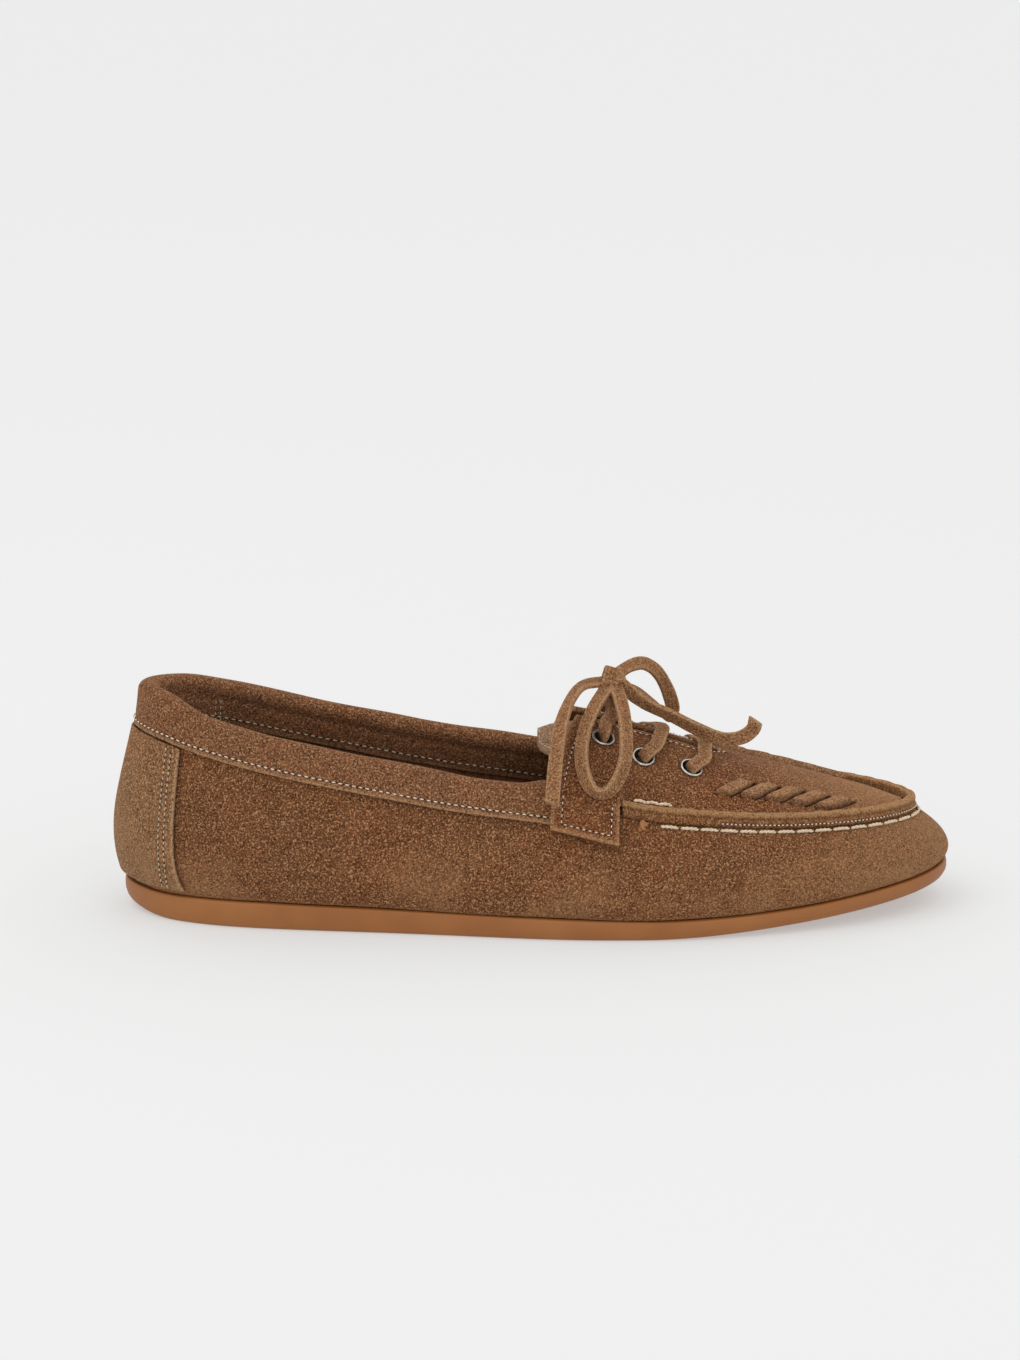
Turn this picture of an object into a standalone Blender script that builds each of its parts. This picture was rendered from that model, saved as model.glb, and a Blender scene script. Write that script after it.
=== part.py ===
"""Suede moccasin for the right foot, with a laced apron, a rubber sole and a bow.

The toe points along +X, the inner (medial) side along +Y, and the sole rests on z = 0.
Lengths below are in millimetres and become metres where a mesh is made.

The upper is described by one closed loop of stations round the sole, from the back of the
heel along the outer side to the toe and back along the inner side. Every layer of the upper
(suede, lining, heel counter, collar) is the same curved wall at another depth.
"""

import math

import bmesh
import bpy
import numpy as np
from mathutils import Matrix, Vector

MM = 0.001
GAP = 0.35  # between pieces that touch on the real shoe

# Round the sole: x, y of the sole's edge, how far the top of the wall stands in from it,
# and the height of the wall's top.
STATIONS = np.array([
    (-124.0, 0.0, 6.5, 66.8),
    (-119.0, -11.5, 6.0, 66.2),
    (-105.5, -22.0, 5.0, 64.0),
    (-80.0, -29.5, 5.0, 58.2),
    (-50.0, -33.5, 8.0, 51.6),
    (-20.0, -37.8, 11.5, 45.8),
    (6.0, -41.5, 14.0, 41.6),
    (28.0, -42.5, 12.0, 36.6),
    (50.0, -41.0, 12.0, 33.6),
    (72.0, -36.0, 12.0, 31.3),
    (92.0, -29.0, 12.0, 30.0),
    (108.0, -20.5, 12.0, 29.3),
    (120.5, -9.5, 12.5, 28.8),
    (126.5, 5.0, 12.5, 28.6),
    (121.5, 21.0, 13.0, 28.8),
    (105.0, 35.0, 13.5, 29.6),
    (82.0, 43.5, 14.0, 31.0),
    (56.0, 44.0, 13.5, 33.2),
    (28.0, 38.5, 9.5, 36.6),
    (0.0, 31.5, 5.5, 42.6),
    (-28.0, 28.0, 3.5, 47.5),
    (-56.0, 28.5, 3.5, 53.0),
    (-84.0, 29.5, 5.0, 59.0),
    (-105.5, 23.0, 5.0, 64.0),
    (-119.0, 12.0, 6.0, 66.2),
])
RING_STATIONS = 64

# Sole
SOLE_HEEL_EDGE = 8.2
SOLE_TOE_EDGE = 5.0
SOLE_EDGE_TAPER = (-80.0, 160.0)  # where the edge starts to get thinner, and over what length
TOE_SPRING = 7.5
TOE_SPRING_START = 35.0
TOE_SPRING_END = 126.0
HEEL_LIFT = 3.0
HEEL_LIFT_START = -108.0
HEEL_LIFT_LENGTH = 16.0
HEEL_LIFT_ABOVE = 0.35  # share of the heel's lift that the top of the sole follows
SOLE_EDGE_DRAFT = 1.2

# Upper
FOREPART = (0.0, 42.0)  # x over which the wall changes from the quarters' shape to the toe's
HEEL_PART = (-85.0, -118.0)
WALL_BULGE = 6.2  # how far the lower wall swells over the sole's edge
HEEL_BULGE = 1.6
QUARTER_LEAN = 4.2  # how far the upper wall leans in to its top edge
FORE_LEAN = 8.0
HEEL_LEAN = 3.0
FEATHER_INSET = 1.2
SUEDE = 1.4
LINING_DEPTH = 2.1
LINING = 0.8
LASTING_MARGIN = 9.0
HEEL_PANEL_DEPTH = -1.9
HEEL_PANEL = 1.2
HEEL_PANEL_FRONT = -106.5
HEEL_PANEL_OVERLAP = 8.0
HEEL_PANEL_FOOT = 0.045
HEEL_LINING_FRONT = -99.0
VAMP_START = 24.0
WALL_ROWS = np.array([0, 0.14, 0.34, 0.56, 0.78, 1.0])
LINING_ROWS = np.array([0.09, 0.34, 0.56, 0.78, 1.0])
COLLAR_DEPTH = -1.7
COLLAR_SUEDE = 1.2
COLLAR_OUTER_DROP = 10.4
OUTER_LOWER = 2.6  # the top edge's extra drop on the outer side, behind the tab
OUTER_LOWER_REAR = (-116.0, -98.0)
OUTER_LOWER_FRONT = (-8.0, 4.5)
COLLAR_NARROWS = 0.8  # the share of that drop taken off the collar's width
COLLAR_INNER_DROP = 7.0
COLLAR_END = 13.0

# Apron, with its lacing slit, tabs, eyelets and woven strips
APRON = 1.5
TAB_REAR = 5.0
TAB_FRONT = 25.0
TAB_DEPTH = -3.5
TAB_DROP = 12.5
APRON_AXIS_END = 93.0
APRON_ROWS = 17
TAB_ROWS = 6
TAB_STEP = 2.4
SLIT_END = 56.0
SLIT_REAR = 13.0
SLIT_HALF = 4.5
RIM_HEIGHT = 3.3
RIM_THICKNESS = 2.8
CREST = np.array([
    (5.0, 62.0), (13.0, 60.6), (31.0, 55.6), (41.0, 52.4), (53.0, 47.8),
    (69.0, 43.4), (87.0, 38.2), (100.0, 34.4), (114.0, 30.2),
])
EYELETS = [(20.7, 14.0), (32.6, 16.0), (47.0, 15.5)]  # x, and distance from the apron's axis
EYELET_HOLE = 3.0
EYELET_BORE = 2.3
WEAVE_START = 58.0
WEAVE_PITCH = 7.6
WEAVE_OVER = 4.5
WEAVE_COUNT = 5
WEAVE_OUT = {-1: (19.0, 15.5), 1: (12.5, 8.5)}  # by side: distance from the axis at both ends of a row
WEAVE_SLANT = (3.6, 3.2)  # half of a bar's length: forward, and towards the axis
WEAVE_STRIP = 0.8
WEAVE_SLOT = 1.15

# Tongue
TONGUE = 1.4
TONGUE_REAR = 1.5
TONGUE_FRONT = 61.0
TONGUE_HALF = 18.0
TONGUE_ROUND = 13.0  # length of the rounded free end
TONGUE_DROOP = 4.5  # how far its tip and its sides hang down there
TONGUE_SIDE_DROOP = 4.0
TONGUE_UNDER = APRON + 1.9

# Insole parts, as heights above the sole's top
BOARD_LOW = 2.1
BOARD = 1.4
SOCK = 3.0
INSOLE_INSET = 5.2

# Lace
LACE_RADIUS = 1.15
EYELET_EXIT = [(0.0, -0.8), (0.0, 1.0), (0.5, 2.3), (1.6, 3.1), (3.2, 3.3)]  # shift towards the slit, lift
LACE_BARS = [("lace_bar_middle", 2, 6.0), ("lace_bar_front", 3, 4.0)]  # eyelet pair, sag towards the toe
KNOT_CENTRE = Vector((24.0, 0.0, 68.6))
KNOT_RADIUS = 3.2
# Routes of the bow: the direction in which each leaves the knot, its points, and for a loop the
# direction in which it comes back.
BOW = {
    "lace_loop_outer": ((-0.55, -0.80, -0.20), [
        (18.2, -11.5, 63.9), (15.0, -19.0, 58.2), (14.0, -26.3, 51.9), (15.6, -32.6, 46.4),
        (19.2, -35.9, 43.8), (23.6, -34.0, 46.0), (26.8, -27.3, 52.0), (27.2, -17.5, 59.2), (26.2, -9.5, 64.6),
    ], (0.30, -0.90, -0.30)),
    "lace_end_outer": ((-0.97, -0.10, 0.20), [
        (15.0, -4.5, 68.8), (11.2, -10.0, 66.0), (8.3, -18.5, 61.2), (6.6, -27.0, 54.0), (5.4, -36.2, 45.4),
        (5.0, -39.0, 41.4),
    ], None),
    "lace_loop_inner": ((0.35, 0.45, 0.82), [
        (29.0, 4.6, 72.4), (33.4, 8.0, 72.6), (37.8, 12.0, 69.0), (41.2, 15.8, 62.4), (43.0, 18.4, 55.8),
        (41.4, 17.4, 53.6), (37.0, 12.6, 58.6), (31.6, 7.0, 64.2),
    ], (0.70, 0.50, -0.52)),
    "lace_end_front": ((0.95, -0.28, -0.14), [
        (33.7, -3.0, 63.0), (41.5, -3.2, 59.2), (49.0, -2.4, 55.0), (56.9, -1.0, 51.2), (62.9, 0.0, 51.4),
        (66.5, 0.5, 53.8), (67.3, 0.5, 56.6),
    ], None),
}


def periodic_spline(knots, values):
    """A closed cubic spline through rows of values, with knots from 0 to 1."""
    count = len(values)
    spans = np.diff(np.append(knots, 1.0))
    matrix = np.zeros((count, count))
    right = np.zeros_like(values)
    for i in range(count):
        before, after = spans[i - 1], spans[i]
        matrix[i, i - 1] += before
        matrix[i, i] += 2 * (before + after)
        matrix[i, (i + 1) % count] += after
        right[i] = 6 * ((values[(i + 1) % count] - values[i]) / after - (values[i] - values[i - 1]) / before)
    bends = np.linalg.solve(matrix, right)

    def at(s):
        s = np.mod(np.atleast_1d(s), 1.0)
        i = np.searchsorted(knots, s, side="right") - 1
        j = (i + 1) % count
        span = spans[i][:, None]
        b = (s - knots[i])[:, None] / span
        a = 1 - b
        bend = ((a ** 3 - a) * bends[i] + (b ** 3 - b) * bends[j]) * span ** 2 / 6
        return a * values[i] + b * values[j] + bend

    return at


def station_knots():
    loop = np.vstack([STATIONS, STATIONS[:1]])
    steps = np.linalg.norm(np.diff(loop[:, :2], axis=0), axis=1)
    return np.concatenate([[0], np.cumsum(steps)[:-1]]) / steps.sum()


KNOTS = station_knots()
station_at = periodic_spline(KNOTS, STATIONS)
DENSE_S = np.linspace(0, 1, 2001)
DENSE = station_at(DENSE_S)
TOE_S = DENSE_S[np.argmax(DENSE[:, 0])]
RING = np.arange(2 * RING_STATIONS) / RING_STATIONS
RING_MARGIN = 0.3 / RING_STATIONS
SEAM = 0.5 / 600  # half millimetre round the shoe


def smoothstep(low, high, value):
    t = np.clip((value - low) / (high - low), 0, 1)
    return t * t * (3 - 2 * t)


def s_outer(x):
    """The loop's parameter where the outer side passes x."""
    side = DENSE_S <= TOE_S
    return np.interp(x, DENSE[side, 0], DENSE_S[side])


def s_inner(x):
    side = DENSE_S >= TOE_S
    return np.interp(x, DENSE[side, 0][::-1], DENSE_S[side][::-1])


def sole_bottom(x):
    spring = TOE_SPRING * np.clip((x - TOE_SPRING_START) / (TOE_SPRING_END - TOE_SPRING_START), 0, 1.1) ** 1.5
    lift = HEEL_LIFT * np.clip((HEEL_LIFT_START - x) / HEEL_LIFT_LENGTH, 0, 1.2) ** 2
    return spring + lift


def sole_top(x):
    start, length = SOLE_EDGE_TAPER
    edge = SOLE_HEEL_EDGE + (SOLE_TOE_EDGE - SOLE_HEEL_EDGE) * np.clip((x - start) / length, 0, 1)
    return sole_bottom(x) * np.where(x < 0, HEEL_LIFT_ABOVE, 1.0) + edge


def plan_frame(s):
    """Sole edge point and outward direction in plan."""
    step = 1e-4
    here = station_at(s)
    ahead = station_at(np.asarray(s) + step) - station_at(np.asarray(s) - step)
    along = ahead[:, :2] / np.linalg.norm(ahead[:, :2], axis=1)[:, None]
    outward = np.stack([along[:, 1], -along[:, 0]], axis=1)
    return here, outward


def lowered(here):
    """How far the top edge lies lower at stations on the outer side."""
    x = here[:, 0]
    return OUTER_LOWER * smoothstep(*OUTER_LOWER_REAR, x) * (1 - smoothstep(*OUTER_LOWER_FRONT, x)) * (here[:, 1] < 0)


def collar_drop(s):
    """How far the collar reaches down the outside of the wall at each s."""
    return COLLAR_OUTER_DROP - COLLAR_NARROWS * lowered(station_at(s))


def wall_skin(s, t):
    """Outer surface of the wall: s round the shoe, t from the sole (0) to the top edge (1)."""
    here, outward = plan_frame(s)
    out = np.column_stack([outward, np.zeros(len(here))])
    up = np.array([0, 0, 1.0])
    x, inset, top = here[:, 0], here[:, 2], here[:, 3] - lowered(here)
    base = np.column_stack([here[:, :2], sole_top(x) + GAP]) - out * FEATHER_INSET
    head = np.column_stack([here[:, :2], top]) - out * inset[:, None]
    rise = (head[:, 2] - base[:, 2])[:, None]
    fore = smoothstep(*FOREPART, x)[:, None]
    heel = smoothstep(*HEEL_PART, x)[:, None]
    bulge = WALL_BULGE + HEEL_BULGE * heel - fore
    lean_out = QUARTER_LEAN * (1 - fore) + FORE_LEAN * fore - HEEL_LEAN * heel
    lean_down = (0.30 * rise) * (1 - fore) + 3.0 * fore
    first = base + out * bulge + up * rise * 0.30
    second = head + out * lean_out - up * lean_down
    t = np.asarray(t, float)[None, :, None]
    p0, p1, p2, p3 = (p[:, None, :] for p in (base, first, second, head))
    u = 1 - t
    return u ** 3 * p0 + 3 * u * u * t * p1 + 3 * u * t * t * p2 + t ** 3 * p3


def wall(s, t, depth=0.0):
    """Grid of wall points at a depth under the outer surface, one row for each s."""
    s, t = np.atleast_1d(s).astype(float), np.atleast_1d(t).astype(float)
    step = 1e-3
    skin = wall_skin(s, t)
    along = wall_skin(s + step, t) - wall_skin(s - step, t)
    rising = wall_skin(s, t + step) - wall_skin(s, t - step)
    normal = np.cross(along, rising)
    normal /= np.linalg.norm(normal, axis=2)[:, :, None]
    return skin - normal * depth


def t_below_top(s, drop):
    """The wall's parameter t at a distance below its top edge, measured on the surface."""
    t = np.linspace(1, 0, 61)
    line = wall_skin(s, t)
    run = np.concatenate([np.zeros((len(line), 1)), np.cumsum(np.linalg.norm(np.diff(line, axis=1), axis=2), axis=1)], axis=1)
    return np.array([np.interp(drop, run[i], t) for i in range(len(line))])


# ------------------------------------------------------------------ meshes and materials

def material(name, colour, roughness, metallic=0.0):
    made = bpy.data.materials.get(name)
    if made is None:
        made = bpy.data.materials.new(name)
        made.use_nodes = True
        shader = made.node_tree.nodes["Principled BSDF"]
        shader.inputs["Base Color"].default_value = (*colour, 1)
        shader.inputs["Roughness"].default_value = roughness
        shader.inputs["Metallic"].default_value = metallic
    return made


SUEDE_LOOK = ("suede", (0.23, 0.13, 0.07), 0.95)
LACE_LOOK = ("suede_lace", (0.21, 0.12, 0.065), 0.95)
LINING_LOOK = ("lining_suede", (0.17, 0.10, 0.055), 0.9)
HEEL_LINING_LOOK = ("heel_lining", (0.22, 0.16, 0.11), 0.9)
RUBBER_LOOK = ("gum_rubber", (0.47, 0.22, 0.07), 0.55)
BOARD_LOOK = ("insole_board", (0.45, 0.36, 0.25), 0.9)
FILLER_LOOK = ("cork_filler", (0.38, 0.25, 0.14), 0.95)
THREAD_LOOK = ("cream_thread", (0.78, 0.66, 0.48), 0.7)
METAL_LOOK = ("eyelet_metal", (0.75, 0.73, 0.68), 0.25, 1.0)


def finish(name, bm, look):
    """Turns a bmesh in millimetres into a named object in metres."""
    bmesh.ops.remove_doubles(bm, verts=bm.verts, dist=0.01)
    bmesh.ops.recalc_face_normals(bm, faces=bm.faces)
    bmesh.ops.scale(bm, vec=(MM, MM, MM), verts=bm.verts)
    mesh = bpy.data.meshes.new(name)
    bm.to_mesh(mesh)
    bm.free()
    mesh.shade_smooth()
    mesh.set_sharp_from_angle(angle=math.radians(40))
    made = bpy.data.objects.new(name, mesh)
    made.data.materials.append(material(*look))
    bpy.context.scene.collection.objects.link(made)
    return made


def add_sheet(bm, points):
    """A grid of faces through rows of points."""
    rows, columns = points.shape[:2]
    made = bmesh.ops.create_grid(bm, x_segments=columns - 1, y_segments=rows - 1, size=1.0)
    for vert, place in zip(made["verts"], points.reshape(-1, 3)):
        vert.co = place


def shell(name, front, back, look):
    """A closed body between two sheets with the same rows and columns of points."""
    bm = bmesh.new()
    for points in (front, back):
        add_sheet(bm, points)
    for edge in (np.s_[0], np.s_[-1], np.s_[:, 0], np.s_[:, -1]):
        add_sheet(bm, np.stack([front[edge], back[edge]]))
    return finish(name, bm, look)


def eased(start, end, count):
    """Values from start to end, closer together at both ends."""
    return start + (end - start) * (1 - np.cos(np.linspace(0, np.pi, count))) / 2


def ring_between(start, end):
    """Stations from start to end round the shoe; past the heel's middle they go on over 1."""
    inside = RING[(RING > start + RING_MARGIN) & (RING < end - RING_MARGIN)]
    return np.concatenate([[start], inside, [end]])


# ------------------------------------------------------------------ sole and insole

def plate(name, inset, low, high, look, draft=0.0, rows=20, columns=5):
    """A plate with the sole's outline, inset all round, between two heights."""
    outline, outward = plan_frame(DENSE_S)
    edge = outline[:, :2] - outward * inset
    toe, heel = np.argmax(edge[:, 0]), np.argmin(edge[:1000, 0])
    outer, inner = edge[heel:toe + 1], edge[toe:]
    x = eased(edge[heel, 0], edge[toe, 0], rows)
    y_outer = np.interp(x, outer[:, 0], outer[:, 1])
    y_inner = np.interp(x, inner[::-1, 0], inner[::-1, 1])
    middle, half = (y_outer + y_inner) / 2, (y_inner - y_outer) / 2
    across = np.sin(np.linspace(-np.pi / 2, np.pi / 2, columns))
    y = middle[:, None] + half[:, None] * across
    shrink = np.maximum(half - draft, 0) / np.maximum(half, 1e-6)
    y_low = middle[:, None] + half[:, None] * shrink[:, None] * across
    x_middle = (x[0] + x[-1]) / 2
    x_low = x_middle + (x - x_middle) * (1 - draft / (x[-1] - x_middle))
    wide_x = np.repeat(x[:, None], columns, axis=1)
    wide_low = np.repeat(x_low[:, None], columns, axis=1)
    top = np.stack([wide_x, y, high(wide_x)], axis=2)
    bottom = np.stack([wide_low, y_low, low(wide_low)], axis=2)
    return shell(name, top, bottom, look)


def sole_stack():
    plate("outsole", 0.0, sole_bottom, sole_top, RUBBER_LOOK, draft=SOLE_EDGE_DRAFT, rows=36, columns=7)
    plate("bottom_filler", FEATHER_INSET + SUEDE + LASTING_MARGIN + 2 * GAP,
          lambda x: sole_top(x) + GAP, lambda x: sole_top(x) + GAP + SUEDE, FILLER_LOOK,
          rows=14, columns=3)
    plate("insole_board", INSOLE_INSET, lambda x: sole_top(x) + BOARD_LOW,
          lambda x: sole_top(x) + BOARD_LOW + BOARD, BOARD_LOOK)
    plate("sock_lining", INSOLE_INSET - 0.4, lambda x: sole_top(x) + BOARD_LOW + BOARD + GAP,
          lambda x: sole_top(x) + BOARD_LOW + BOARD + GAP + SOCK, LINING_LOOK)


# ------------------------------------------------------------------ upper

def layer(name, s, t, depth, thickness, look):
    return shell(name, wall(s, t, depth), wall(s, t, depth + thickness), look)


def lasted_layer(name, s, t, thickness, look):
    """The suede wall with its lasting margin, which turns in under the insole board."""
    front, back = wall(s, t, 0.0), wall(s, t, thickness)
    here, outward = plan_frame(s)
    out = np.column_stack([outward, np.zeros(len(here))])[:, None, :]
    reach = np.array([LASTING_MARGIN, LASTING_MARGIN * 0.5])[None, :, None]
    low = front[:, :1] - out * reach
    low[:, :, 2] = sole_top(low[:, :, 0]) + GAP
    high = back[:, :1] - out * reach
    high[:, :, 2] = sole_top(high[:, :, 0]) + GAP + thickness
    inner_corner = back[:, :1].copy()
    inner_corner[:, :, 2] = sole_top(inner_corner[:, :, 0]) + GAP + thickness
    outer_corner = front[:, :1].copy()
    outer_corner[:, :, 2] = sole_top(outer_corner[:, :, 0]) + GAP
    front = np.concatenate([low, outer_corner, front[:, 1:]], axis=1)
    back = np.concatenate([high, inner_corner, back[:, 1:]], axis=1)
    return shell(name, front, back, look)


def heel_ring(front_x, margin=0.0):
    """Stations round the heel, from the inner side to the outer one."""
    return ring_between(s_inner(front_x) + margin, 1.0 + s_outer(front_x) - margin)


def upper_walls():
    wall_end = HEEL_PANEL_FRONT - HEEL_PANEL_OVERLAP
    lasted_layer("side_wall", ring_between(s_outer(wall_end), s_inner(wall_end)), WALL_ROWS, SUEDE, SUEDE_LOOK)
    lasted_layer("heel_counter", heel_ring(wall_end, SEAM), WALL_ROWS, SUEDE, BOARD_LOOK)


def heel_panel():
    """The outer panel round the heel, from just above the sole to just under the collar."""
    s = heel_ring(HEEL_PANEL_FRONT)
    top = [t_below_top(v, drop + 0.6)[0] for v, drop in zip(s, collar_drop(s))]
    rows = [HEEL_PANEL_FOOT + (t - HEEL_PANEL_FOOT) * np.linspace(0, 1, 6) for t in top]
    front, back = (
        np.concatenate([wall(v, t, depth) for v, t in zip(s, rows)])
        for depth in (HEEL_PANEL_DEPTH, HEEL_PANEL_DEPTH + HEEL_PANEL))
    shell("heel_panel", front, back, SUEDE_LOOK)


def linings():
    for name, s, look in (
        ("quarter_lining_outer", ring_between(s_outer(HEEL_LINING_FRONT) + SEAM, s_outer(VAMP_START)), LINING_LOOK),
        ("vamp_lining", ring_between(s_outer(VAMP_START) + SEAM, s_inner(VAMP_START) - SEAM), LINING_LOOK),
        ("quarter_lining_inner", ring_between(s_inner(VAMP_START), s_inner(HEEL_LINING_FRONT) - SEAM), LINING_LOOK),
        ("heel_lining", heel_ring(HEEL_LINING_FRONT), HEEL_LINING_LOOK),
    ):
        layer(name, s, LINING_ROWS, LINING_DEPTH, LINING, look)


def collar_path(s, depth_out, depth_in):
    """The collar's folded section at s: up the outside, over the top edge, down the inside."""
    top = wall(s, [1.0])[0, 0]
    below = wall(s, [0.97])[0, 0]
    up = (top - below) / np.linalg.norm(top - below)
    normal = top - wall(s, [1.0], 1.0)[0, 0]
    middle = (depth_out + depth_in) / 2
    radius = (depth_in - depth_out) / 2
    centre = top - normal * middle + up * GAP
    outer_t = t_below_top(s, collar_drop(s)[0])[0]
    inner_t = t_below_top(s, COLLAR_INNER_DROP)[0]
    outside = wall(s, np.linspace(outer_t, 1.0, 3), depth_out)[0]
    inside = wall(s, [1.0, inner_t], depth_in)[0]
    turn = np.linspace(0, np.pi, 6)[1:-1]
    roll = [centre + normal * radius * math.cos(a) + up * radius * math.sin(a) for a in turn]
    return np.vstack([outside, roll, inside])


def collar():
    s = heel_ring(COLLAR_END)
    inner_face = LINING_DEPTH + LINING + GAP
    front = np.array([
        collar_path(v, COLLAR_DEPTH, inner_face + COLLAR_SUEDE) for v in s])
    back = np.array([
        collar_path(v, COLLAR_DEPTH + COLLAR_SUEDE, inner_face) for v in s])
    shell("collar_band", front, back, SUEDE_LOOK)


def seam_rim():
    """The raised lip where the wall and the apron are sewn together, round the toe."""
    s = ring_between(s_outer(TAB_FRONT + 3.0), s_inner(TAB_FRONT + 3.0))
    foot_t = t_below_top(s, RIM_THICKNESS)
    inner = wall(s, [1.0], -GAP)[:, 0]
    outer = np.array([wall(s[i], [foot_t[i]], -GAP)[0, 0] for i in range(len(s))])
    lift = np.array([0, 0, 1.0])
    steps = np.array([0.0, 0.45, 0.85, 1.0])
    pinch = np.array([0.0, 0.0, 0.04, 0.22])
    front, back = [], []
    for low_out, low_in in zip(outer, inner):
        top_z = low_in[2] + RIM_HEIGHT
        across = low_in - low_out
        front.append([low_out + across * p + lift * (top_z - low_out[2]) * h for h, p in zip(steps, pinch)])
        back.append([low_in - across * p + lift * (top_z - low_in[2]) * h for h, p in zip(steps, pinch)])
    shell("seam_rim", np.array(front), np.array(back), SUEDE_LOOK)


def tube(name, points, radius, look, sides=2):
    """A round tube along points, as a curve with filled caps."""
    curve = bpy.data.curves.new(name, "CURVE")
    curve.dimensions = "3D"
    curve.bevel_depth = radius * MM
    curve.bevel_resolution = sides
    curve.use_fill_caps = True
    line = curve.splines.new("POLY")
    line.points.add(len(points) - 1)
    for place, point in zip(line.points, points):
        place.co = (*(Vector(point) * MM), 1)
    made = bpy.data.objects.new(name, curve)
    curve.materials.append(material(*look))
    bpy.context.scene.collection.objects.link(made)
    return made


def seam_thread():
    """The thick hand-sewn thread, lying on the wall just under the lip."""
    s = ring_between(s_outer(33.0), s_inner(33.0))
    t = t_below_top(s, RIM_THICKNESS + 1.2)
    line = [wall(s[i], [t[i]], -0.8)[0, 0] for i in range(len(s))]
    tube("seam_thread", line, 0.4, THREAD_LOOK, sides=1)


# ------------------------------------------------------------------ apron

def apron_edge_point(s, inward=0.0):
    """Where the apron's edge runs: inside the lip in front, over the collar at the tabs."""
    here, outward = plan_frame(s)
    out = np.column_stack([outward, np.zeros(len(here))])
    head = np.column_stack([here[:, :2], here[:, 3]]) - out * here[:, 2][:, None]
    front = head - out * (3 * GAP)
    front[:, 2] += 1.2
    over = head + out * (-TAB_DEPTH - 0.2)
    over[:, 2] += 2.2
    blend = smoothstep(TAB_FRONT, TAB_FRONT + TAB_STEP, here[:, 0])[:, None]
    return over * (1 - blend) + front * blend


EDGE_S = np.linspace(s_outer(3.0), s_inner(3.0), 801)
EDGE = apron_edge_point(EDGE_S)
EDGE_TIP = int(np.argmax(EDGE[:, 0]))


def apron_sides(x):
    """y and z of the apron's two edges at x: outer side, inner side."""
    outer, inner = EDGE[:EDGE_TIP + 1], EDGE[EDGE_TIP:][::-1]
    return [np.interp(x, side[:, 0], side[:, k]) for side in (outer, inner) for k in (1, 2)]


def seam_middle():
    """x and y half way between the wall's two top edges."""
    here, outward = plan_frame(DENSE_S)
    head = here[:, :2] - outward * here[:, 2:3]
    tip = int(np.argmax(head[:, 0]))
    x = np.linspace(0, APRON_AXIS_END, 60)
    y_outer = np.interp(x, head[200:tip, 0], head[200:tip, 1])
    y_inner = np.interp(x, head[tip:1800, 0][::-1], head[tip:1800, 1][::-1])
    return x, (y_outer + y_inner) / 2


AXIS = seam_middle()


def axis_y(x):
    return np.interp(x, *AXIS)


def apron_height(x, y):
    """Height of the apron's upper surface."""
    x, y = np.asarray(x, float), np.asarray(y, float)
    y_outer, z_outer, y_inner, z_inner = apron_sides(x)
    middle = (y_outer + y_inner) / 2
    half = np.maximum((y_inner - y_outer) / 2, 0.5)
    q = np.clip((y - middle) / half, -1, 1)
    edge_z = z_outer + (z_inner - z_outer) * (q + 1) / 2
    crest = np.interp(x, CREST[:, 0], CREST[:, 1])
    for shift in (4.0, -4.0):  # softens the corners of the crest line
        crest = crest + np.interp(x + shift, CREST[:, 0], CREST[:, 1])
    return edge_z + (np.maximum(crest / 3, edge_z) - edge_z) * (1 - q * q)


def apron_normal(x, y):
    step = 0.2
    slope_x = (apron_height(x + step, y) - apron_height(x - step, y)) / (2 * step)
    slope_y = (apron_height(x, y + step) - apron_height(x, y - step)) / (2 * step)
    normal = np.stack([-slope_x, -slope_y, np.ones_like(slope_x)], axis=-1)
    return normal / np.linalg.norm(normal, axis=-1)[..., None]


def over_apron(x, y, lift):
    """A point at a height above the apron, measured along its normal."""
    x, y = np.asarray(x, float), np.asarray(y, float)
    return np.stack([x, y, apron_height(x, y)], axis=-1) + apron_normal(x, y) * lift


def slit_half(x):
    """Half of the lacing slit's width, closing to a rounded front end."""
    narrow = SLIT_HALF - 1.8 * np.clip((x - SLIT_REAR) / (SLIT_END - SLIT_REAR), 0, 1)
    closing = np.sqrt(np.clip(1 - np.clip((x - SLIT_END + 5.0) / 5.0, 0, 1) ** 2, 0, 1))
    return narrow * closing


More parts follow.
